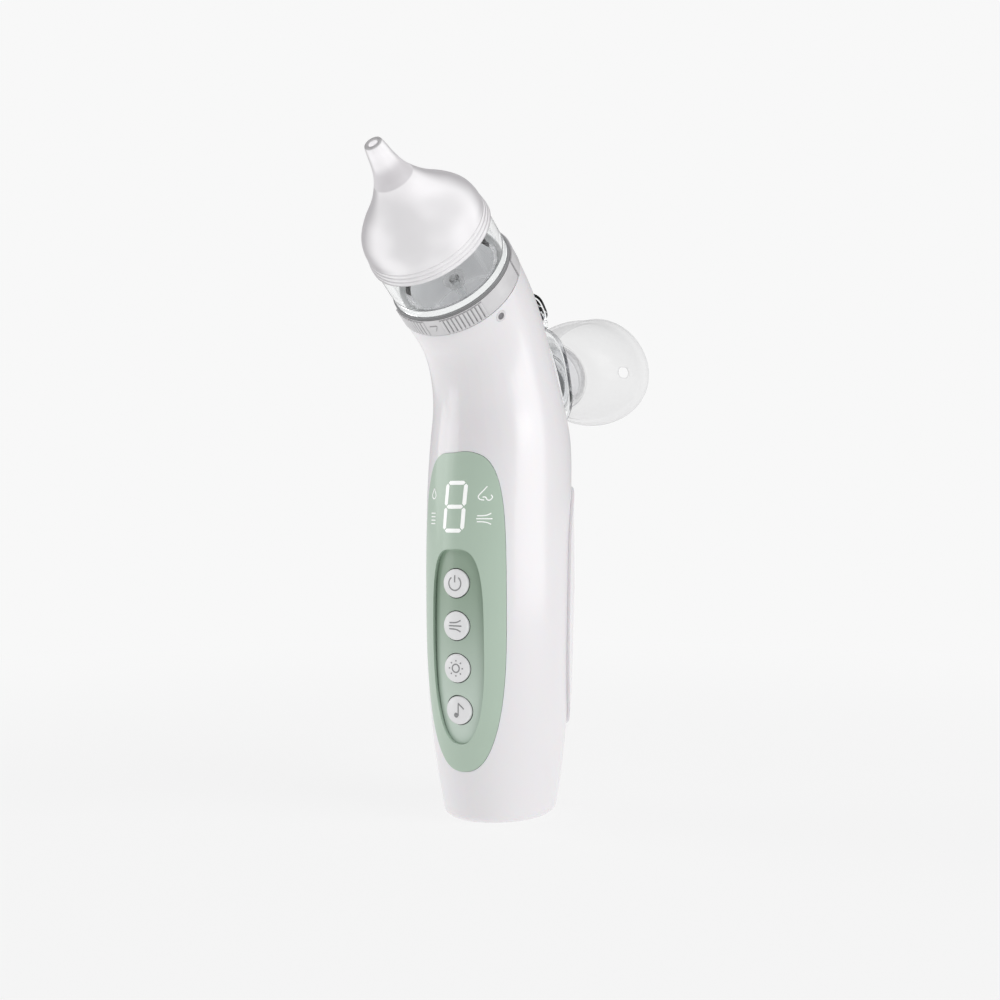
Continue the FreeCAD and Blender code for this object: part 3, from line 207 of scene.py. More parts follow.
def solid(name, colour, roughness, metallic=0.0, coat=0.0, grain=2500.0, depth=2e-6,
          stretch=(1, 1, 1)):
    """Opaque finish: faint blotches of colour, uneven gloss and a fine moulded or ground grain."""
    material = blank(name)
    wide = noise(material, 90.0)
    fine = noise(material, grain, 2.0, stretch)
    colour = mixed_colour(material, wide, shaded(colour, 0.97), shaded(colour, 1.03))
    shader = add(
        material, "BsdfPrincipled", Base_Color=colour, Metallic=metallic, Coat_Weight=coat,
        Coat_Roughness=0.08, Roughness=between(material, fine, roughness - 0.04, roughness + 0.04),
        Normal=bump(material, fine, depth))
    return finished(material, shader.outputs[0])


def shell_white():
    """Glossy white shell with a faint lilac cast and the slight waviness of a moulded skin; painted shade
    greys its seams and narrow gaps.
    """
    material = blank("shell_white")
    wide = noise(material, 25.0, 1.0)
    fine = noise(material, 1800.0, 2.0)
    skin = mixed_colour(material, wide, srgb(238, 235, 238), srgb(242, 240, 242))
    # Painted shade: grey colour in seams and narrow gaps, found by occlusion.
    seam_shade = painted_gap_shade(material, 1.5 * MM, 0.1, 0.5, True)
    colour = mixed_colour(material, seam_shade, srgb(170, 167, 170), skin)
    waviness = calculate(material, "MULTIPLY_ADD", fine, 0.02)
    place_in(material.node_tree, waviness.node.inputs[2], wide)
    shader = add(
        material, "BsdfPrincipled", Base_Color=colour, Coat_Weight=0.5, Coat_Roughness=0.12,
        Roughness=between(material, fine, 0.3, 0.36), Normal=bump(material, waviness, 6e-5, 0.35),
        Subsurface_Weight=0.08, Subsurface_Scale=0.002)
    return finished(material, shader.outputs[0])


def superellipse_distance(material, centre_z, half_width, half_height, exponents):
    """0 at the outline's middle, 1 on it, more outside; exponents for the lower and upper end."""
    axes = add(material, "SeparateXYZ", Vector=spot(material)).outputs
    across = calculate(material, "ABSOLUTE", calculate(material, "DIVIDE", axes[0], half_width))
    rise = calculate(material, "SUBTRACT", axes[2], centre_z)
    along = calculate(material, "ABSOLUTE", calculate(material, "DIVIDE", rise, half_height))
    exponent = between(material, calculate(material, "GREATER_THAN", rise), *exponents)
    total = calculate(
        material, "ADD", calculate(material, "POWER", across, exponent),
        calculate(material, "POWER", along, exponent))
    return calculate(material, "POWER", total, calculate(material, "DIVIDE", 1.0, exponent))


# Outline of the panel's sunk tray, seen from the front; one exponent for each end.
TRAY_MIDDLE_Z = 51.35 * MM
TRAY_HALF_HEIGHT = 27.95 * MM
TRAY_HALF_WIDTH = 8.5 * MM
TRAY_EXPONENTS = (2.4, 3.5)


def panel_green():
    """Sage green satin panel with fine moulded grain; painted light and shade in the tray, pale at its
    foot and deeper green towards its top, and dark green painted shade in narrow gaps.
    """
    material = blank("panel_green")
    wide = noise(material, 60.0, 2.0)
    fine = noise(material, 2600.0, 2.0)
    face = mixed_colour(material, wide, srgb(180, 200, 183), srgb(186, 206, 189))
    outline = superellipse_distance(
        material, TRAY_MIDDLE_Z, TRAY_HALF_WIDTH, TRAY_HALF_HEIGHT, TRAY_EXPONENTS)
    inside = add(material, "MapRange", Value=outline, From_Min=1.01, From_Max=0.98).outputs[0]
    height = add(material, "SeparateXYZ", Vector=spot(material)).outputs[2]
    # Painted light and shade in the tray: pale at its foot, darker green towards its top as painted
    # shadow under the rim.
    tray_low = TRAY_MIDDLE_Z - 0.9 * TRAY_HALF_HEIGHT
    tray_high = TRAY_MIDDLE_Z + 0.8 * TRAY_HALF_HEIGHT
    toward_tray_shadow = ramp(material, height, tray_low, tray_high)
    tray = mixed_colour(material, toward_tray_shadow, srgb(204, 220, 208), srgb(148, 170, 150))
    skin = mixed_colour(material, inside, face, tray)
    # Painted shade: dark green in narrow gaps.
    colour = mixed_colour(material, painted_gap_shade(material, 1.2 * MM, 0.1, 0.5), srgb(70, 92, 74), skin)
    shader = add(
        material, "BsdfPrincipled", Base_Color=colour, Coat_Weight=0.35, Coat_Roughness=0.15,
        Roughness=between(material, fine, 0.34, 0.42), Normal=bump(material, fine, 3e-6))
    return finished(material, shader.outputs[0])


def button_white():
    """White button cap with a satin face; painted shade darkens the gap round it."""
    material = blank("button_white")
    wide = noise(material, 400.0, 2.0)
    fine = noise(material, 2600.0, 2.0)
    face = mixed_colour(material, wide, srgb(238, 238, 239), srgb(246, 246, 247))
    # Painted shade: near black where the button's flange sits deep in its gap.
    colour = mixed_colour(material, painted_gap_shade(material, 3.0 * MM, 0.25, 0.6), srgb(44, 52, 46), face)
    shader = add(
        material, "BsdfPrincipled", Base_Color=colour, Coat_Weight=0.4, Coat_Roughness=0.12,
        Roughness=between(material, fine, 0.3, 0.38), Normal=bump(material, fine, 3e-6))
    return finished(material, shader.outputs[0])


def frosted_ring():
    """Whitish translucent ring: painted shade draws fine grey lines between its grip ribs."""
    material = blank("ring_frost")
    wide = noise(material, 200.0, 2.0)
    fine = noise(material, 1800.0, 2.0)
    face = mixed_colour(material, wide, srgb(226, 225, 227), srgb(244, 243, 244))
    # Painted shade: grey in the grooves between the ribs, found by occlusion.
    colour = mixed_colour(material, painted_gap_shade(material, 1.6 * MM, 0.35, 0.85), srgb(158, 157, 159), face)
    skin = add(
        material, "BsdfPrincipled", Base_Color=colour, Roughness=between(material, fine, 0.2, 0.28),
        Normal=bump(material, fine, 4e-6), Coat_Weight=0.6, Coat_Roughness=0.08)
    inside = add(material, "BsdfTransparent", Color=srgb(244, 243, 244))
    return finished(material, mixed_shader(material, 0.8, inside.outputs[0], skin.outputs[0]))


def liner_painted_glow():
    """Pale liner of the cup's well, with a painted glow standing in for the light that the clear cup
    scatters into it.
    """
    material = blank("liner_painted_glow")
    wide = noise(material, 90.0, 2.0)
    fine = noise(material, 1800.0, 2.0)
    colour = mixed_colour(material, wide, srgb(206, 205, 207), srgb(222, 221, 222))
    # Painted glow: emission in the liner's own colour brightens the well.
    shader = add(
        material, "BsdfPrincipled", Base_Color=colour, Roughness=between(material, fine, 0.4, 0.5),
        Normal=bump(material, fine, 4e-6), Emission_Color=colour, Emission_Strength=0.3)
    return finished(material, shader.outputs[0])


def light_guide():
    """Lit milky bars of the digit."""
    material = blank("light_guide")
    glow = noise(material, 500.0, 1.0)
    colour = mixed_colour(material, glow, srgb(226, 228, 226), srgb(240, 241, 240))
    shader = add(
        material, "BsdfPrincipled", Base_Color=colour, Roughness=0.3, Emission_Color=colour,
        Emission_Strength=0.35, Coat_Weight=0.4)
    return finished(material, shader.outputs[0])


def clear(name, tint, index, roughness):
    """Clear moulded part: real refraction for the eye, and thin shadows so that light gets in."""
    material = blank(name)
    fine = noise(material, 900.0, 2.0)
    glass = add(
        material, "BsdfPrincipled", Base_Color=tint, Transmission_Weight=1.0, IOR=index,
        Roughness=between(material, fine, roughness, roughness + 0.03),
        Normal=bump(material, fine, 2e-6))
    through = add(material, "BsdfTransparent", Color=shaded(tint, 0.97))
    rays = add(material, "LightPath").outputs
    passing = calculate(material, "MAXIMUM", rays["Is Shadow Ray"], rays["Is Diffuse Ray"])
    return finished(material, mixed_shader(material, passing, glass.outputs[0], through.outputs[0]))


# Heights above the nozzle's rim: where its hollow ends, where its clearer tip starts, and its end.
NOZZLE_SOLID_LOW = 22.2 * MM
NOZZLE_SOLID_HIGH = 26.0 * MM
NOZZLE_END = 33.7 * MM


def along_head(material):
    """Height above the nozzle's rim along the tilted head axis, in metres."""
    axis = HEAD.to_3x3().col[2]
    from_rim = add(material, "VectorMath", {"operation": "SUBTRACT"})
    place_in(material.node_tree, from_rim.inputs[0], spot(material))
    place_in(material.node_tree, from_rim.inputs[1], HEAD.to_translation())
    height = add(material, "VectorMath", {"operation": "DOT_PRODUCT"})
    place_in(material.node_tree, height.inputs[0], from_rim.outputs[0])
    place_in(material.node_tree, height.inputs[1], axis)
    return height.outputs["Value"]


def milky_silicone():
    """Translucent silicone with painted light and shade: pale with blurry painted light over the hollow
    bell, greyer where the wall is thick, painted shade where seen edge on and at the tip's open end, and
    a faint painted glow.
    """
    material = blank("silicone_milky")
    wide = noise(material, 75.0, 1.0)
    fine = noise(material, 1500.0, 2.0)
    height = along_head(material)
    facing = add(material, "LayerWeight", Blend=0.5).outputs["Facing"]
    # Painted light: blurry pale patches over the hollow bell.
    painted_light_patches = mixed_colour(
        material, ramp(material, wide, 0.35, 0.65), srgb(236, 235, 236), srgb(252, 251, 252))
    # Painted shade: greyer where the wall is seen edge on.
    edge = ramp(material, facing, 0.35, 0.75)
    bell = mixed_colour(material, edge, painted_light_patches, srgb(190, 188, 190))
    above_hollow = ramp(material, height, NOZZLE_SOLID_LOW, NOZZLE_SOLID_LOW + 0.5 * MM)
    neck = mixed_colour(material, above_hollow, bell, srgb(217, 215, 217))
    in_tip = ramp(material, height, NOZZLE_SOLID_HIGH, NOZZLE_SOLID_HIGH + 3 * MM)
    tip = mixed_colour(material, edge, srgb(250, 249, 250), srgb(200, 199, 200))
    # Painted shade: dark at the tip's open end.
    tip_opening_shade = ramp(material, height, NOZZLE_END, NOZZLE_END + 0.5 * MM)
    tube = mixed_colour(material, in_tip, neck, tip)
    colour = mixed_colour(material, tip_opening_shade, tube, srgb(168, 167, 168))
    # Painted glow: faint emission in the silicone's own colour.
    skin = add(
        material, "BsdfPrincipled", Base_Color=colour, Roughness=between(material, fine, 0.4, 0.48),
        Normal=bump(material, fine, 4e-6), Specular_IOR_Level=0.25,
        Emission_Color=colour, Emission_Strength=0.16)
    glow = add(material, "BsdfTranslucent", Color=colour)
    wall = mixed_shader(material, 0.3, skin.outputs[0], glow.outputs[0])
    through = add(material, "BsdfTransparent", Color=srgb(246, 245, 246))
    shadow = add(material, "LightPath").outputs["Is Shadow Ray"]
    seen = between(material, facing, 0.82, 1.0)
    opacity = calculate(material, "MULTIPLY", seen, between(material, shadow, 1.0, 0.35))
    return finished(material, mixed_shader(material, opacity, through.outputs[0], wall))


def thin_clear(name, tint, face_on, edge_on):
    """Soft clear wall without refraction: nearly unseen face on, greyer where seen along the wall."""
    material = blank(name)
    fine = noise(material, 700.0, 2.0)
    skin = add(
        material, "BsdfPrincipled", Base_Color=tint, Roughness=between(material, fine, 0.16, 0.24),
        Normal=bump(material, fine, 4e-6), Coat_Weight=0.5, Coat_Roughness=0.08)
    inside = add(material, "BsdfTransparent", Color=srgb(250, 250, 250))
    facing = add(material, "LayerWeight", Blend=0.5).outputs["Facing"]
    opacity = between(material, calculate(material, "POWER", facing, 2.2), face_on, edge_on)
    return finished(material, mixed_shader(material, opacity, inside.outputs[0], skin.outputs[0]))


def board_green():
    """Green circuit board with copper tracks under the solder mask."""
    material = blank("board_green")
    tracks = add(
        material, "TexBrick", {"offset": 0.5}, Vector=spot(material), Scale=420.0, Mortar_Size=0.03)
    colour = mixed_colour(material, tracks.outputs["Fac"], srgb(22, 84, 52), srgb(52, 128, 82))
    shader = add(
        material, "BsdfPrincipled", Base_Color=colour, Roughness=0.35, Coat_Weight=0.5,
        Normal=bump(material, tracks.outputs["Fac"], 2e-5))
    return finished(material, shader.outputs[0])


def foam(name, colour):
    """Open foam or felt whose pores are darkened as painted shade."""
    material = blank(name)
    pores = add(material, "TexVoronoi", Vector=spot(material), Scale=1600.0).outputs["Distance"]
    # Painted shade: darker colour in the pores.
    tone = mixed_colour(material, pores, shaded(colour, 0.35), colour)
    shader = add(
        material, "BsdfPrincipled", Base_Color=tone, Roughness=0.95,
        Normal=bump(material, pores, 3e-4))
    return finished(material, shader.outputs[0])


def slot_materials():
    """One material for each material slot of the record."""
    brushed = (1, 1, 25)
    return {
        "shell_white": shell_white(),
        "panel_green": panel_green(),
        "light_guide": light_guide(),
        "button_white": button_white(),
        "bezel_pale": solid("bezel_pale", srgb(226, 224, 226), 0.3, coat=0.4),
        "lens_grey": solid("lens_grey", srgb(120, 118, 122), 0.12, coat=1.0, grain=900.0),
        "clear_plastic": clear("clear_plastic", srgb(251, 252, 252), 1.25, 0.0),
        "ring_frost": frosted_ring(),
        "seal_grey": solid("seal_grey", srgb(146, 147, 148), 0.6, grain=1500.0, depth=1e-5),
        "silicone_milky": milky_silicone(),
        "silicone_clear": thin_clear("silicone_clear", srgb(240, 240, 241), 0.06, 0.5),
        "frame_grey": solid("frame_grey", srgb(96, 98, 102), 0.55, depth=8e-6),
        "board_green": board_green(),
        "display_black": solid("display_black", srgb(34, 34, 38), 0.3, coat=0.6),
        "switch_black": solid("switch_black", srgb(40, 40, 42), 0.45),
        "steel": solid("steel", srgb(190, 190, 194), 0.32, 1.0, stretch=brushed, depth=6e-6),
        "screw_steel": solid("screw_steel", srgb(200, 200, 204), 0.25, 1.0, depth=4e-6),
        "battery_wrap": solid("battery_wrap", srgb(58, 108, 168), 0.3, coat=0.5, grain=600.0, depth=3e-5),
        "pump_plastic": solid("pump_plastic", srgb(206, 204, 198), 0.5, depth=8e-6),
        "eccentric_brass": solid("eccentric_brass", srgb(206, 172, 108), 0.3, 1.0, stretch=brushed),
        "rubber_black": solid("rubber_black", srgb(44, 44, 46), 0.7, grain=1400.0, depth=1.5e-5),
        "foam_grey": foam("foam_grey", srgb(120, 120, 124)),
        "filter_white": foam("filter_white", srgb(238, 238, 236)),
        "contact_gold": solid("contact_gold", srgb(226, 190, 118), 0.22, 1.0, depth=3e-6),
        "speaker_black": solid("speaker_black", srgb(46, 46, 48), 0.5, grain=1200.0, depth=1e-5),
        "wire_red": solid("wire_red", srgb(176, 44, 40), 0.4, coat=0.3),
    }


MATERIALS = slot_materials()
# CAD nodes whose look differs from the rest of their slot.
OWN_MATERIALS = {
    "cup_socket": liner_painted_glow(),
    "mask_adapter": clear("adapter_clear", srgb(228, 228, 230), 1.3, 0.02),
}


def dress(piece, slot, body):
    """Give a new piece its material slot and the body that it rides on."""
    piece.data.materials.clear()
    piece.data.materials.append(MATERIALS[slot])
    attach(piece, body)


def dress_frame():
    """Give every CAD node its own material, or the material of its slot."""
    for part in frame["record"]["subparts"]:
        mesh = frame["nodes"][part["node"]].data
        mesh.materials.clear()
        mesh.materials.append(OWN_MATERIALS.get(part["node"], MATERIALS[part["material_slot"]]))


# ---- mesh builders ------------------------------------------------------------------------------

def mesh_piece(name, vertices, faces):
    """Smooth-shaded object from vertices and faces."""
    mesh = bpy.data.meshes.new(name)
    mesh.from_pydata([tuple(vertex) for vertex in vertices], [], faces)
    mesh.validate()
    mesh.shade_smooth()
    piece = bpy.data.objects.new(name, mesh)
    bpy.context.scene.collection.objects.link(piece)
    return piece


def skin_of_rings(name, rings, closed_along):
    """Surface through rings of equal length. It closes on itself along the rings, or gets end caps."""
    count = len(rings[0])
    vertices = [point for ring in rings for point in ring]
    faces = []
    last = len(rings) if closed_along else len(rings) - 1
    for row in range(last):
        here = row * count
        there = ((row + 1) % len(rings)) * count
        for step in range(count):
            after = (step + 1) % count
            faces.append((here + step, here + after, there + after, there + step))
    if not closed_along:
        faces.append(tuple(range(count))[::-1])
        faces.append(tuple(last * count + step for step in range(count)))
    return mesh_piece(name, vertices, faces)


def turned(name, profile, place, count=96):
    """Ring-shaped solid from a closed (radius, height) profile in metres, round a frame's Z."""
    rings = []
    for radius, height in profile:
        ring = []
        for step in range(count):
            angle = 2 * math.pi * step / count
            ring.append(place @ Vector((radius * math.cos(angle), radius * math.sin(angle), height)))
        rings.append(ring)
    return skin_of_rings(name, rings, True)


def rounded(profile, radius, steps=4):
    """Closed profile with each corner rounded, the radius shrunk where a side is short."""
    points = [Vector(point) for point in profile]
    result = []
    for index, corner in enumerate(points):
        before = points[index - 1] - corner
        after = points[(index + 1) % len(points)] - corner
        reach = min(radius, before.length * 0.45, after.length * 0.45)
        start = corner + before.normalized() * reach
        end = corner + after.normalized() * reach
        for step in range(steps + 1):
            share = step / steps
            near = start.lerp(corner, share)
            far = corner.lerp(end, share)
            result.append(tuple(near.lerp(far, share)))
    return result


def smooth_path(points, steps=8):
    """Points along a smooth curve through the given ones."""
    points = [Vector(point) for point in points]
    padded = [2 * points[0] - points[1]] + points + [2 * points[-1] - points[-2]]
    result = []
    for index in range(1, len(padded) - 2):
        a, b, c, d = padded[index - 1:index + 3]
        for step in range(steps):
            t = step / steps
            result.append(0.5 * (2 * b + (c - a) * t + (2 * a - 5 * b + 4 * c - d) * t ** 2
                                 + (3 * b - a - 3 * c + d) * t ** 3))
    result.append(points[-1])
    return result


def surface_tree(node):
    """Search tree over a CAD node's surface."""
    mesh = frame["nodes"][node].data
    vertices = [vertex.co for vertex in mesh.vertices]
    return BVHTree.FromPolygons(vertices, [polygon.vertices for polygon in mesh.polygons])


def on_front(tree, across, height):
    """Point and normal of a surface seen from the front."""
    place, normal, _, _ = tree.ray_cast(Vector((across, -0.08, height)), Vector((0, 1, 0)))
    return place, normal


def inlay(name, tree, lines, width, closed=False):
    """Thin raised ribbons laid on a front surface along (x, z) lines in metres."""
    proud = 0.06 * MM
    sunk = 0.12 * MM
    vertices = []
    faces = []
    for line in lines:
        spots = [on_front(tree, across, height) for across, height in line]
        total = len(spots)
        first = len(vertices)
        for index, (point, normal) in enumerate(spots):
            ahead = spots[(index + 1) % total if closed else min(index + 1, total - 1)][0]
            behind = spots[index - 1 if closed or index else 0][0]
            side = (ahead - behind).cross(normal).normalized() * (width / 2)
            vertices += [
                point - side - normal * sunk, point - side * 0.8 + normal * proud,
                point + side * 0.8 + normal * proud, point + side - normal * sunk]
        last = total if closed else total - 1
        for index in range(last):
            here = first + 4 * index
            there = first + 4 * ((index + 1) % total)
            for step in range(4):
                after = (step + 1) % 4
                faces.append((here + step, here + after, there + after, there + step))
        if not closed:
            faces.append((first + 3, first + 2, first + 1, first))
            end = first + 4 * (total - 1)
            faces.append((end, end + 1, end + 2, end + 3))
    return mesh_piece(name, vertices, faces)


# ---- soft parts ---------------------------------------------------------------------------------

NOZZLE_MOUTH = 16.35 * MM
CUP_WELL = 14.4 * MM
STEM_BORE = 1.56 * MM


def nozzle():
    """Milky nozzle: stepped rim, round bell, slim tip with a rolled end, and a thick-walled hollow."""
    radius, _, length = measure("nozzle", HEAD)
    bands = []
    for step, inset in ((0.0, 0.1), (1.2, 0.25), (2.4, 0.45)):
        top = (step + 1.1) * MM
        edge = radius - inset * MM
        bands += [(edge - 0.12 * MM, step * MM + 0.02 * MM), (edge, step * MM + 0.15 * MM)]
        bands += [(edge, top - 0.15 * MM), (edge - 0.12 * MM, top)]
        bands += [(edge - 0.3 * MM, top + 0.02 * MM), (edge - 0.3 * MM, top + 0.08 * MM)]
    bell = smooth_path([
        (radius * 0.967, 0.108 * length), (radius * 0.954, 0.19 * length), (radius * 0.9, 0.271 * length),
        (radius * 0.77, 0.362 * length), (radius * 0.596, 0.455 * length),
        (radius * 0.455, 0.542 * length), (radius * 0.336, 0.636 * length),
        (radius * 0.249, 0.729 * length), (radius * 0.195, 0.834 * length),
        (radius * 0.163, 0.933 * length), (radius * 0.142, 0.985 * length)])
    tip = [(radius * 0.132, length * 0.996), (radius * 0.115, length), (radius * 0.085, length * 0.998)]
    tip += [(radius * 0.073, length * 0.99)]
    hollow = smooth_path([
        (radius * 0.07, 0.79 * length), (radius * 0.119, 0.70 * length), (radius * 0.217, 0.61 * length),
        (radius * 0.336, 0.536 * length), (radius * 0.488, 0.437 * length),
        (radius * 0.65, 0.344 * length), (radius * 0.79, 0.256 * length),
        (radius * 0.851, 0.152 * length)])
    seat = [(NOZZLE_MOUTH, 0.12 * length), (NOZZLE_MOUTH, 0.0)]
    profile = bands + [tuple(point) for point in bell] + tip + [tuple(point) for point in hollow] + seat
    piece = turned("nozzle_silicone", profile, HEAD, 128)
    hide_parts("nozzle")
    dress(piece, "silicone_milky", "nozzle")


MASK_STEPS = 20
MASK_TURN = 96
MASK_WALL = 1.0 * MM
MASK_EGG = 0.1
MASK_BOWL_EXPONENT = 2.3
MASK_LIP_START = 0.93
MASK_LIP = 0.9 * MM
MASK_RIM_Z = 136.5 * MM
MASK_RIM_HALF_HEIGHT = 17.2 * MM
MASK_RIM_DEPTH = 1.3 * MM
MASK_SAG = 0.8 * MM


def mask_ring(share, shrink):
    """Section of the mask's bowl at a share of the way from the adapter's end to the upright rim."""
    neck, _, end = measure("mask_adapter", MIST)
    box_low, box_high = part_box("nose_mask")
    start = MIST @ Vector((0, 0, end))
    half_width = (box_high.x - box_low.x) / 2 - MASK_LIP
    rim_centre = Vector((0, box_high.y - MASK_RIM_DEPTH, MASK_RIM_Z))
    growth = (1 - max(1 - share, 0.0) ** MASK_BOWL_EXPONENT) ** (1 / MASK_BOWL_EXPONENT)
    centre = start.lerp(rim_centre, share) + Vector((0, 0, MASK_SAG * math.sin(math.pi * share)))
    lip = MASK_LIP * (max(share - MASK_LIP_START, 0.0) / (1 - MASK_LIP_START)) ** 2
    width = neck + (half_width - neck) * growth + lip - shrink
    height = neck + (MASK_RIM_HALF_HEIGHT - neck) * growth + lip - shrink
    lean = math.acos(min(MIST.to_3x3().col[2].y, 1.0)) * (1 - share)
    upward = Vector((0, -math.sin(lean), math.cos(lean)))
    points = []
    for step in range(MASK_TURN):
        angle = 2 * math.pi * step / MASK_TURN
        rise = math.cos(angle)
        side = width * (1 - MASK_EGG * growth * rise) * math.sin(angle)
        points.append(centre + Vector((side, 0, 0)) + upward * (rise * height))
    return points


def sleeve_ring(radius, height):
    """Ring of the mask's sleeve round the adapter, in step with the bowl's rings."""
    points = []
    for step in range(MASK_TURN):
        angle = 2 * math.pi * step / MASK_TURN
        points.append(MIST @ Vector((radius * math.sin(angle), -radius * math.cos(angle), height)))
    return points


def nose_mask():
    """Clear soft mask: ridged sleeve, bowl, rolled lip and two side vents."""
    neck, _, end = measure("mask_adapter", MIST)
    low = end - 5.0 * MM
    outer = neck + 0.9 * MM
    inner = neck + 0.06 * MM
    rings = [sleeve_ring(inner, low + 0.2 * MM), sleeve_ring(outer - 0.3 * MM, low)]
    for step in range(4):
        foot = low + (0.3 + 1.1 * step) * MM
        for radius, height in ((0.0, 0.0), (0.22, 0.25), (0.22, 0.55), (0.0, 0.8)):
            rings.append(sleeve_ring(outer - 0.2 * MM + radius * MM, foot + height * MM))
    shares = [1 - math.cos(math.pi / 2 * step / MASK_STEPS) for step in range(1, MASK_STEPS)] + [1.0]
    rings += [mask_ring(share, 0.0) for share in shares]
    rings.append([point + Vector((0, 0.35 * MM, 0)) for point in mask_ring(1.0, 0.3 * MM)])
    rings.append([point + Vector((0, 0.35 * MM, 0)) for point in mask_ring(1.0, 0.8 * MM)])
    rings += [mask_ring(share, MASK_WALL) for share in shares[::-1] if share > 0.04]
    rings.append(sleeve_ring(inner - 0.7 * MM, end + 1.0 * MM))
    rings.append(sleeve_ring(inner - 0.7 * MM, end + 0.12 * MM))
    rings.append(sleeve_ring(inner, end + 0.1 * MM))
    piece = skin_of_rings("nose_mask_silicone", rings, True)
    for side in (-1, 1):
        cut_vent(piece, side)
    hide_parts("nose_mask")
    dress(piece, "silicone_clear", "mask")


VENT_CENTRE = Vector((14.6, 51.0, 134.5)) * MM
VENT_ANGLE = math.radians(50.0)
VENT_RADIUS = 1.7 * MM
VENT_HALF_SLOT = 0.9 * MM


def cut_vent(piece, side):
    """Cut one slot-shaped vent through the mask's side."""
    outward = Vector((side * math.cos(math.pi / 2 - VENT_ANGLE), -math.sin(math.pi / 2 - VENT_ANGLE), 0))
    along = Vector((side * math.cos(VENT_ANGLE), math.sin(VENT_ANGLE), 0))
    centre = Vector((side * VENT_CENTRE.x, VENT_CENTRE.y, VENT_CENTRE.z))
    rings = []
    for depth in (-4 * MM, 9 * MM):
        ring = []
        for step in range(24):
            angle = 2 * math.pi * step / 24
            shift = math.copysign(VENT_HALF_SLOT, math.cos(angle))
            level = along * (VENT_RADIUS * math.cos(angle) + shift)
            rise = Vector((0, 0, VENT_RADIUS * math.sin(angle)))
            ring.append(centre + outward * depth + level + rise)
        rings.append(ring)
    cutter = skin_of_rings("vent_cutter", rings, False)
    modifier = piece.modifiers.new("vent", "BOOLEAN")
    modifier.object = cutter
    modifier.operation = "DIFFERENCE"
    modifier.solver = "EXACT"
    apply_modifiers(piece)
    bpy.data.objects.remove(cutter)


def apply_modifiers(piece):
    """Make a piece's modifiers part of its mesh."""
    evaluated = piece.evaluated_get(bpy.context.evaluated_depsgraph_get())
    piece.data = bpy.data.meshes.new_from_object(evaluated)
    piece.modifiers.clear()


def cup_seal():
    """Dark gasket with two soft lips under the cup's shoulder."""
    radius, low, high = measure("cup_seal", HEAD)
    waist = (low + high) / 2
    profile = rounded([
        (CUP_WELL, low), (radius, low), (radius + 0.05 * MM, low + 0.3 * MM),
        (radius - 0.3 * MM, waist), (radius + 0.05 * MM, high - 0.3 * MM), (radius, high),
        (CUP_WELL, high)], 0.15 * MM)
    piece = turned("cup_gasket", profile, HEAD)
    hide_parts("cup_seal")
    dress(piece, "seal_grey", "cup")


def splash_guard():
    """Soft mushroom cap on the cup's stem."""
    radius, low, high = measure("splash_guard", HEAD)
    cap = smooth_path([
        (STEM_BORE + 0.8 * MM, low), (STEM_BORE + 0.9 * MM, low + 1.2 * MM), (radius, high - 1.6 * MM),
        (radius - 0.1 * MM, high - 0.9 * MM), (radius * 0.6, high - 0.2 * MM), (0.02 * MM, high)], 6)
    profile = [tuple(point) for point in cap]
    profile += [(0.02 * MM, high - 1.15 * MM), (STEM_BORE, high - 1.2 * MM), (STEM_BORE, low)]
    piece = turned("splash_cap", profile, HEAD, 64)
    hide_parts("splash_guard")
    dress(piece, "silicone_clear", "cup")


def soft_rings():
    """Small seals and gaskets as rounded rings in place of their plain CAD solids."""
    base = Matrix.Translation((0, middle("speaker_gasket").y, 0))
    places = (
        ("socket_seal", "socket_o_ring", HEAD, 4.6 * MM, "seal_grey", "housing"),
        ("mesh_seal", "mesh_o_ring", MIST, 5.3 * MM, "seal_grey", "tank"),
        ("speaker_gasket", "speaker_foam_ring", base, 6.3 * MM, "foam_grey", "housing"))
    for node, name, place, inner, slot, body in places:
        radius, low, high = measure(node, place)
        profile = rounded([(inner, low), (radius, low), (radius, high), (inner, high)], 0.25 * MM, 6)
        piece = turned(name, profile, place)
        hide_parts(node)
        dress(piece, slot, body)


# ---- icons --------------------------------------------------------------------------------------

def arc(centre_x, centre_z, radius, start, end, steps=24):
    """Points round part of a circle; 0 degrees points to +X and 90 up."""
    points = []
    for step in range(steps + 1):
        angle = math.radians(start + (end - start) * step / steps)
        points.append((centre_x + radius * math.cos(angle), centre_z + radius * math.sin(angle)))
    return points


def straight(start, end, steps=6):
    """Points along a straight line."""
    first = Vector(start)
    return [tuple(first.lerp(Vector(end), step / steps)) for step in range(steps + 1)]


def airflow_lines(centre_x, centre_z, size):
    """Three lines that run level and then spread."""
    lines = [straight((centre_x - size, centre_z), (centre_x + size, centre_z), 10)]
    for side in (-1, 1):
        start = centre_z + side * size * 0.42
        points = [(centre_x - size * 0.9, start), (centre_x - size * 0.1, start + side * size * 0.02)]
        points += [(centre_x + size * 0.4, start + side * size * 0.12)]
        points += [(centre_x + size * 0.85, start + side * size * 0.36)]
        lines.append([tuple(point) for point in smooth_path(points, 5)])
    return lines


def power_icon(centre_z, size):
    """Open ring with a bar at its top."""
    bar = straight((0, centre_z + 0.15 * size), (0, centre_z + 1.15 * size))
    return [arc(0, centre_z, size, 125, 415, 36), bar]


def sun_rays(centre_z, size):
    """Eight short rays."""
    rays = []
    for step in range(8):
        angle = math.radians(45 * step)
        near = (0.92 * size * math.cos(angle), centre_z + 0.92 * size * math.sin(angle))
        far = (1.12 * size * math.cos(angle), centre_z + 1.12 * size * math.sin(angle))
        rays.append(straight(near, far, 2))
    return rays


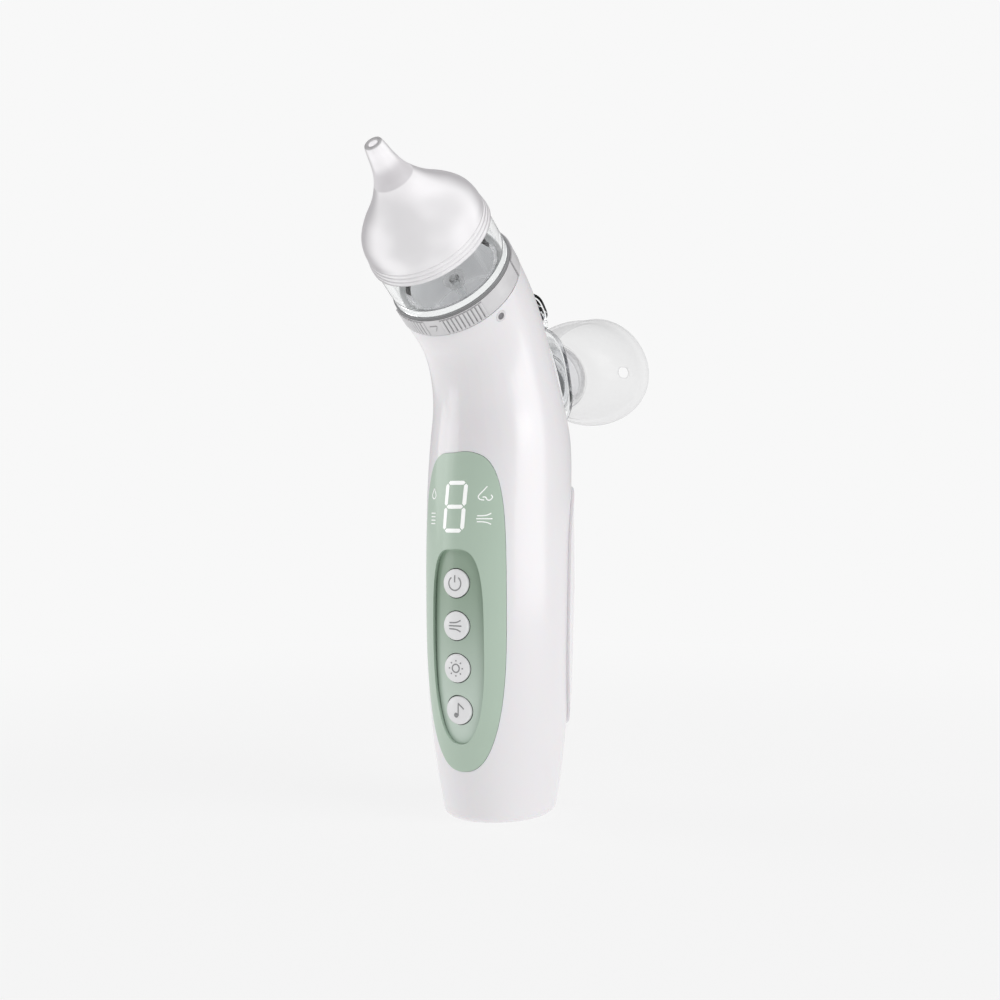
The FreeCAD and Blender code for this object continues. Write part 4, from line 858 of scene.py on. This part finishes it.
def note_icon(centre_z, size):
    """Music note: stem and flag."""
    stem = straight((0.05 * size, centre_z - 0.75 * size), (0.05 * size, centre_z + 1.05 * size), 10)
    flag = smooth_path([
        (0.05 * size, centre_z + 0.98 * size), (0.35 * size, centre_z + 0.72 * size),
        (0.75 * size, centre_z + 0.42 * size), (0.95 * size, centre_z + 0.2 * size)], 4)
    return [stem, [tuple(point) for point in flag]]


def nose_icon(centre_x, centre_z, size):
    """Nose in outline: bridge, tip and two nostril curls."""
    curve = smooth_path([
        (centre_x + 0.25 * size, centre_z + 1.05 * size), (centre_x - 0.2 * size, centre_z + 0.45 * size),
        (centre_x - 0.75 * size, centre_z - 0.25 * size), (centre_x - 0.6 * size, centre_z - 0.7 * size),
        (centre_x - 0.05 * size, centre_z - 0.82 * size)], 6)
    curls = smooth_path([
        (centre_x - 0.25 * size, centre_z - 0.42 * size), (centre_x + 0.1 * size, centre_z - 0.42 * size),
        (centre_x + 0.3 * size, centre_z - 0.78 * size), (centre_x + 0.62 * size, centre_z - 0.8 * size),
        (centre_x + 0.88 * size, centre_z - 0.45 * size),
        (centre_x + 0.72 * size, centre_z - 0.1 * size)], 6)
    return [[tuple(point) for point in curve], [tuple(point) for point in curls]]


def level_lines(centre_x, centre_z, size):
    """Four short level lines, one above the other."""
    lines = []
    for step in range(4):
        height = centre_z + (1.5 - step) * size * 0.5
        lines.append(straight((centre_x - size * 0.55, height), (centre_x + size * 0.55, height)))
    return lines


def drop_icon(centre_x, centre_z, size):
    """Plain water drop in outline."""
    bowl = arc(centre_x, centre_z - 0.2 * size, 0.5 * size, 150, 390, 24)
    return [[(centre_x, centre_z + 0.85 * size)] + bowl + [(centre_x, centre_z + 0.85 * size)]]


ICON_SIZE = 2.0 * MM
ICON_LINE = 0.42 * MM
NOTE_HEAD_LINE = 0.75 * MM
PANEL_ICON_LINE = 0.36 * MM
PANEL_ICON_SIDE = 8.5 * MM
PANEL_ICON_ABOVE = 3.6 * MM
PANEL_ICON_BELOW = 3.4 * MM


def print_icons():
    """Raised icons on the buttons and beside the digit."""
    size = ICON_SIZE
    line = ICON_LINE
    icons = {
        "power_button": lambda height: power_icon(height, size),
        "suction_button": lambda height: airflow_lines(0, height, size * 1.05),
        "light_button": lambda height: sun_rays(height, size * 1.05),
        "music_button": lambda height: note_icon(height, size),
    }
    for name, icon in icons.items():
        tree = surface_tree(name)
        height = middle(name).z
        piece = inlay(name.replace("button", "icon"), tree, icon(height), line)
        dress(piece, "seal_grey", name)
        if name == "light_button":
            ring = inlay("sun_ring", tree, [arc(0, height, 0.58 * size, 0, 345, 23)], line, True)
            dress(ring, "seal_grey", name)
        if name == "music_button":
            head = [arc(-0.3 * size, height - 0.72 * size, 0.2 * size, 0, 345, 23)]
            dot = inlay("note_head", tree, head, NOTE_HEAD_LINE, True)
            dress(dot, "seal_grey", name)
    panel = surface_tree("control_panel")
    digit = middle("digit_light_guide").z
    side = PANEL_ICON_SIDE
    above = digit + PANEL_ICON_ABOVE
    below = digit - PANEL_ICON_BELOW
    marks = nose_icon(side, above, size * 1.05) + airflow_lines(side, below, size)
    marks += level_lines(-side, below, size) + drop_icon(-side, above, size * 0.95)
    dress(inlay("panel_icons", panel, marks, PANEL_ICON_LINE), "light_guide", "housing")


# ---- stage --------------------------------------------------------------------------------------

CAMERA_AZIMUTH = math.radians(30.4)
CAMERA_DISTANCE = 0.4167
CAMERA_HEIGHT = 0.0933
CAMERA_LENS = 50.0


def toward_camera():
    """Level direction from the object to the camera."""
    return Vector((math.sin(CAMERA_AZIMUTH), -math.cos(CAMERA_AZIMUTH), 0))


def camera():
    """Level camera in front and to the right of the panel."""
    data = bpy.data.cameras.new("camera")
    data.lens = CAMERA_LENS
    piece = bpy.data.objects.new("camera", data)
    piece.location = toward_camera() * CAMERA_DISTANCE + Vector((0, 0, CAMERA_HEIGHT))
    piece.rotation_euler = (math.pi / 2, 0, CAMERA_AZIMUTH)
    bpy.context.scene.collection.objects.link(piece)
    bpy.context.scene.camera = piece


SURROUND = (0.938, 0.938, 0.938, 1)
FLOOR_REACH = 60.0


def floor():
    """Wide pale floor that melts into the surroundings."""
    corners = [(x * FLOOR_REACH, y * FLOOR_REACH) for x, y in ((-1, -1), (1, -1), (1, 1), (-1, 1))]
    rings = [[Vector((x, y, height)) for x, y in corners] for height in (-0.02, 0.0)]
    piece = skin_of_rings("floor", rings, False)
    material = blank("floor_pale")
    tone = noise(material, 3.0, 2.0)
    colour = mixed_colour(material, tone, srgb(250, 250, 250), srgb(252, 252, 252))
    paper = add(material, "BsdfDiffuse", Color=colour)
    far = add(material, "Emission", Color=SURROUND)
    distance = add(material, "VectorMath", {"operation": "LENGTH"})
    place_in(material.node_tree, distance.inputs[0], spot(material))
    far_share = between(material, ramp(material, distance.outputs["Value"], 0.1, 0.5), 0.85, 1.0)
    surface = mixed_shader(material, far_share, paper.outputs[0], far.outputs[0])
    piece.data.materials.append(finished(material, surface))


WORLD_STRENGTH = 0.45


def world():
    """Near-white surroundings: bright for the eye, softer as a light."""
    surroundings = bpy.data.worlds.new("studio")
    bpy.context.scene.world = surroundings
    surroundings.use_nodes = True
    tree = surroundings.node_tree
    tree.nodes.clear()
    seen = tree.nodes.new("ShaderNodeBackground")
    seen.inputs["Color"].default_value = SURROUND
    cast = tree.nodes.new("ShaderNodeBackground")
    cast.inputs["Color"].default_value = (0.95, 0.945, 0.95, 1)
    cast.inputs["Strength"].default_value = WORLD_STRENGTH
    rays = tree.nodes.new("ShaderNodeLightPath")
    passing = tree.nodes.new("ShaderNodeMath")
    passing.operation = "MAXIMUM"
    tree.links.new(rays.outputs["Is Camera Ray"], passing.inputs[0])
    tree.links.new(rays.outputs["Is Transmission Ray"], passing.inputs[1])
    mix = tree.nodes.new("ShaderNodeMixShader")
    tree.links.new(passing.outputs[0], mix.inputs[0])
    tree.links.new(cast.outputs[0], mix.inputs[1])
    tree.links.new(seen.outputs[0], mix.inputs[2])
    output = tree.nodes.new("ShaderNodeOutputWorld")
    tree.links.new(mix.outputs[0], output.inputs[0])


def sun(name, azimuth, elevation, strength, spread):
    """Even light from a direction, measured from the camera's side of the object."""
    data = bpy.data.lights.new(name, "SUN")
    data.energy = strength
    data.angle = math.radians(spread)
    piece = bpy.data.objects.new(name, data)
    angle = CAMERA_AZIMUTH + math.radians(azimuth)
    tilt = math.radians(elevation)
    level = math.cos(tilt)
    source = Vector((math.sin(angle) * level, -math.cos(angle) * level, math.sin(tilt)))
    piece.rotation_euler = source.to_track_quat("Z", "Y").to_euler()
    bpy.context.scene.collection.objects.link(piece)


def softbox(name, azimuth, height, distance, width, tall, power):
    """Tall soft light that shows only as a reflection in glossy surfaces."""
    data = bpy.data.lights.new(name, "AREA")
    data.shape = "RECTANGLE"
    data.size = width
    data.size_y = tall
    data.energy = power
    piece = bpy.data.objects.new(name, data)
    angle = CAMERA_AZIMUTH + math.radians(azimuth)
    source = Vector((math.sin(angle), -math.cos(angle), 0))
    piece.location = source * distance + Vector((0, 0, height))
    piece.rotation_euler = source.to_track_quat("Z", "Y").to_euler()
    piece.visible_diffuse = False
    bpy.context.scene.collection.objects.link(piece)


def studio():
    """Soft key from the right, rim light from the left, a little from above, and two tall strips."""
    world()
    sun("key", 60, 32, 0.95, 45)
    sun("rim", -105, 20, 0.7, 40)
    sun("top", -10, 75, 0.35, 70)
    softbox("strip_right", 70, 0.12, 0.6, 0.5, 0.9, 3.0)
    softbox("strip_left", -80, 0.12, 0.8, 0.3, 0.9, 1.5)
    bpy.context.scene.view_settings.view_transform = "Standard"


# ---- build --------------------------------------------------------------------------------------

dress_frame()
nozzle()
nose_mask()
cup_seal()
splash_guard()
soft_rings()
print_icons()
camera()
floor()
studio()
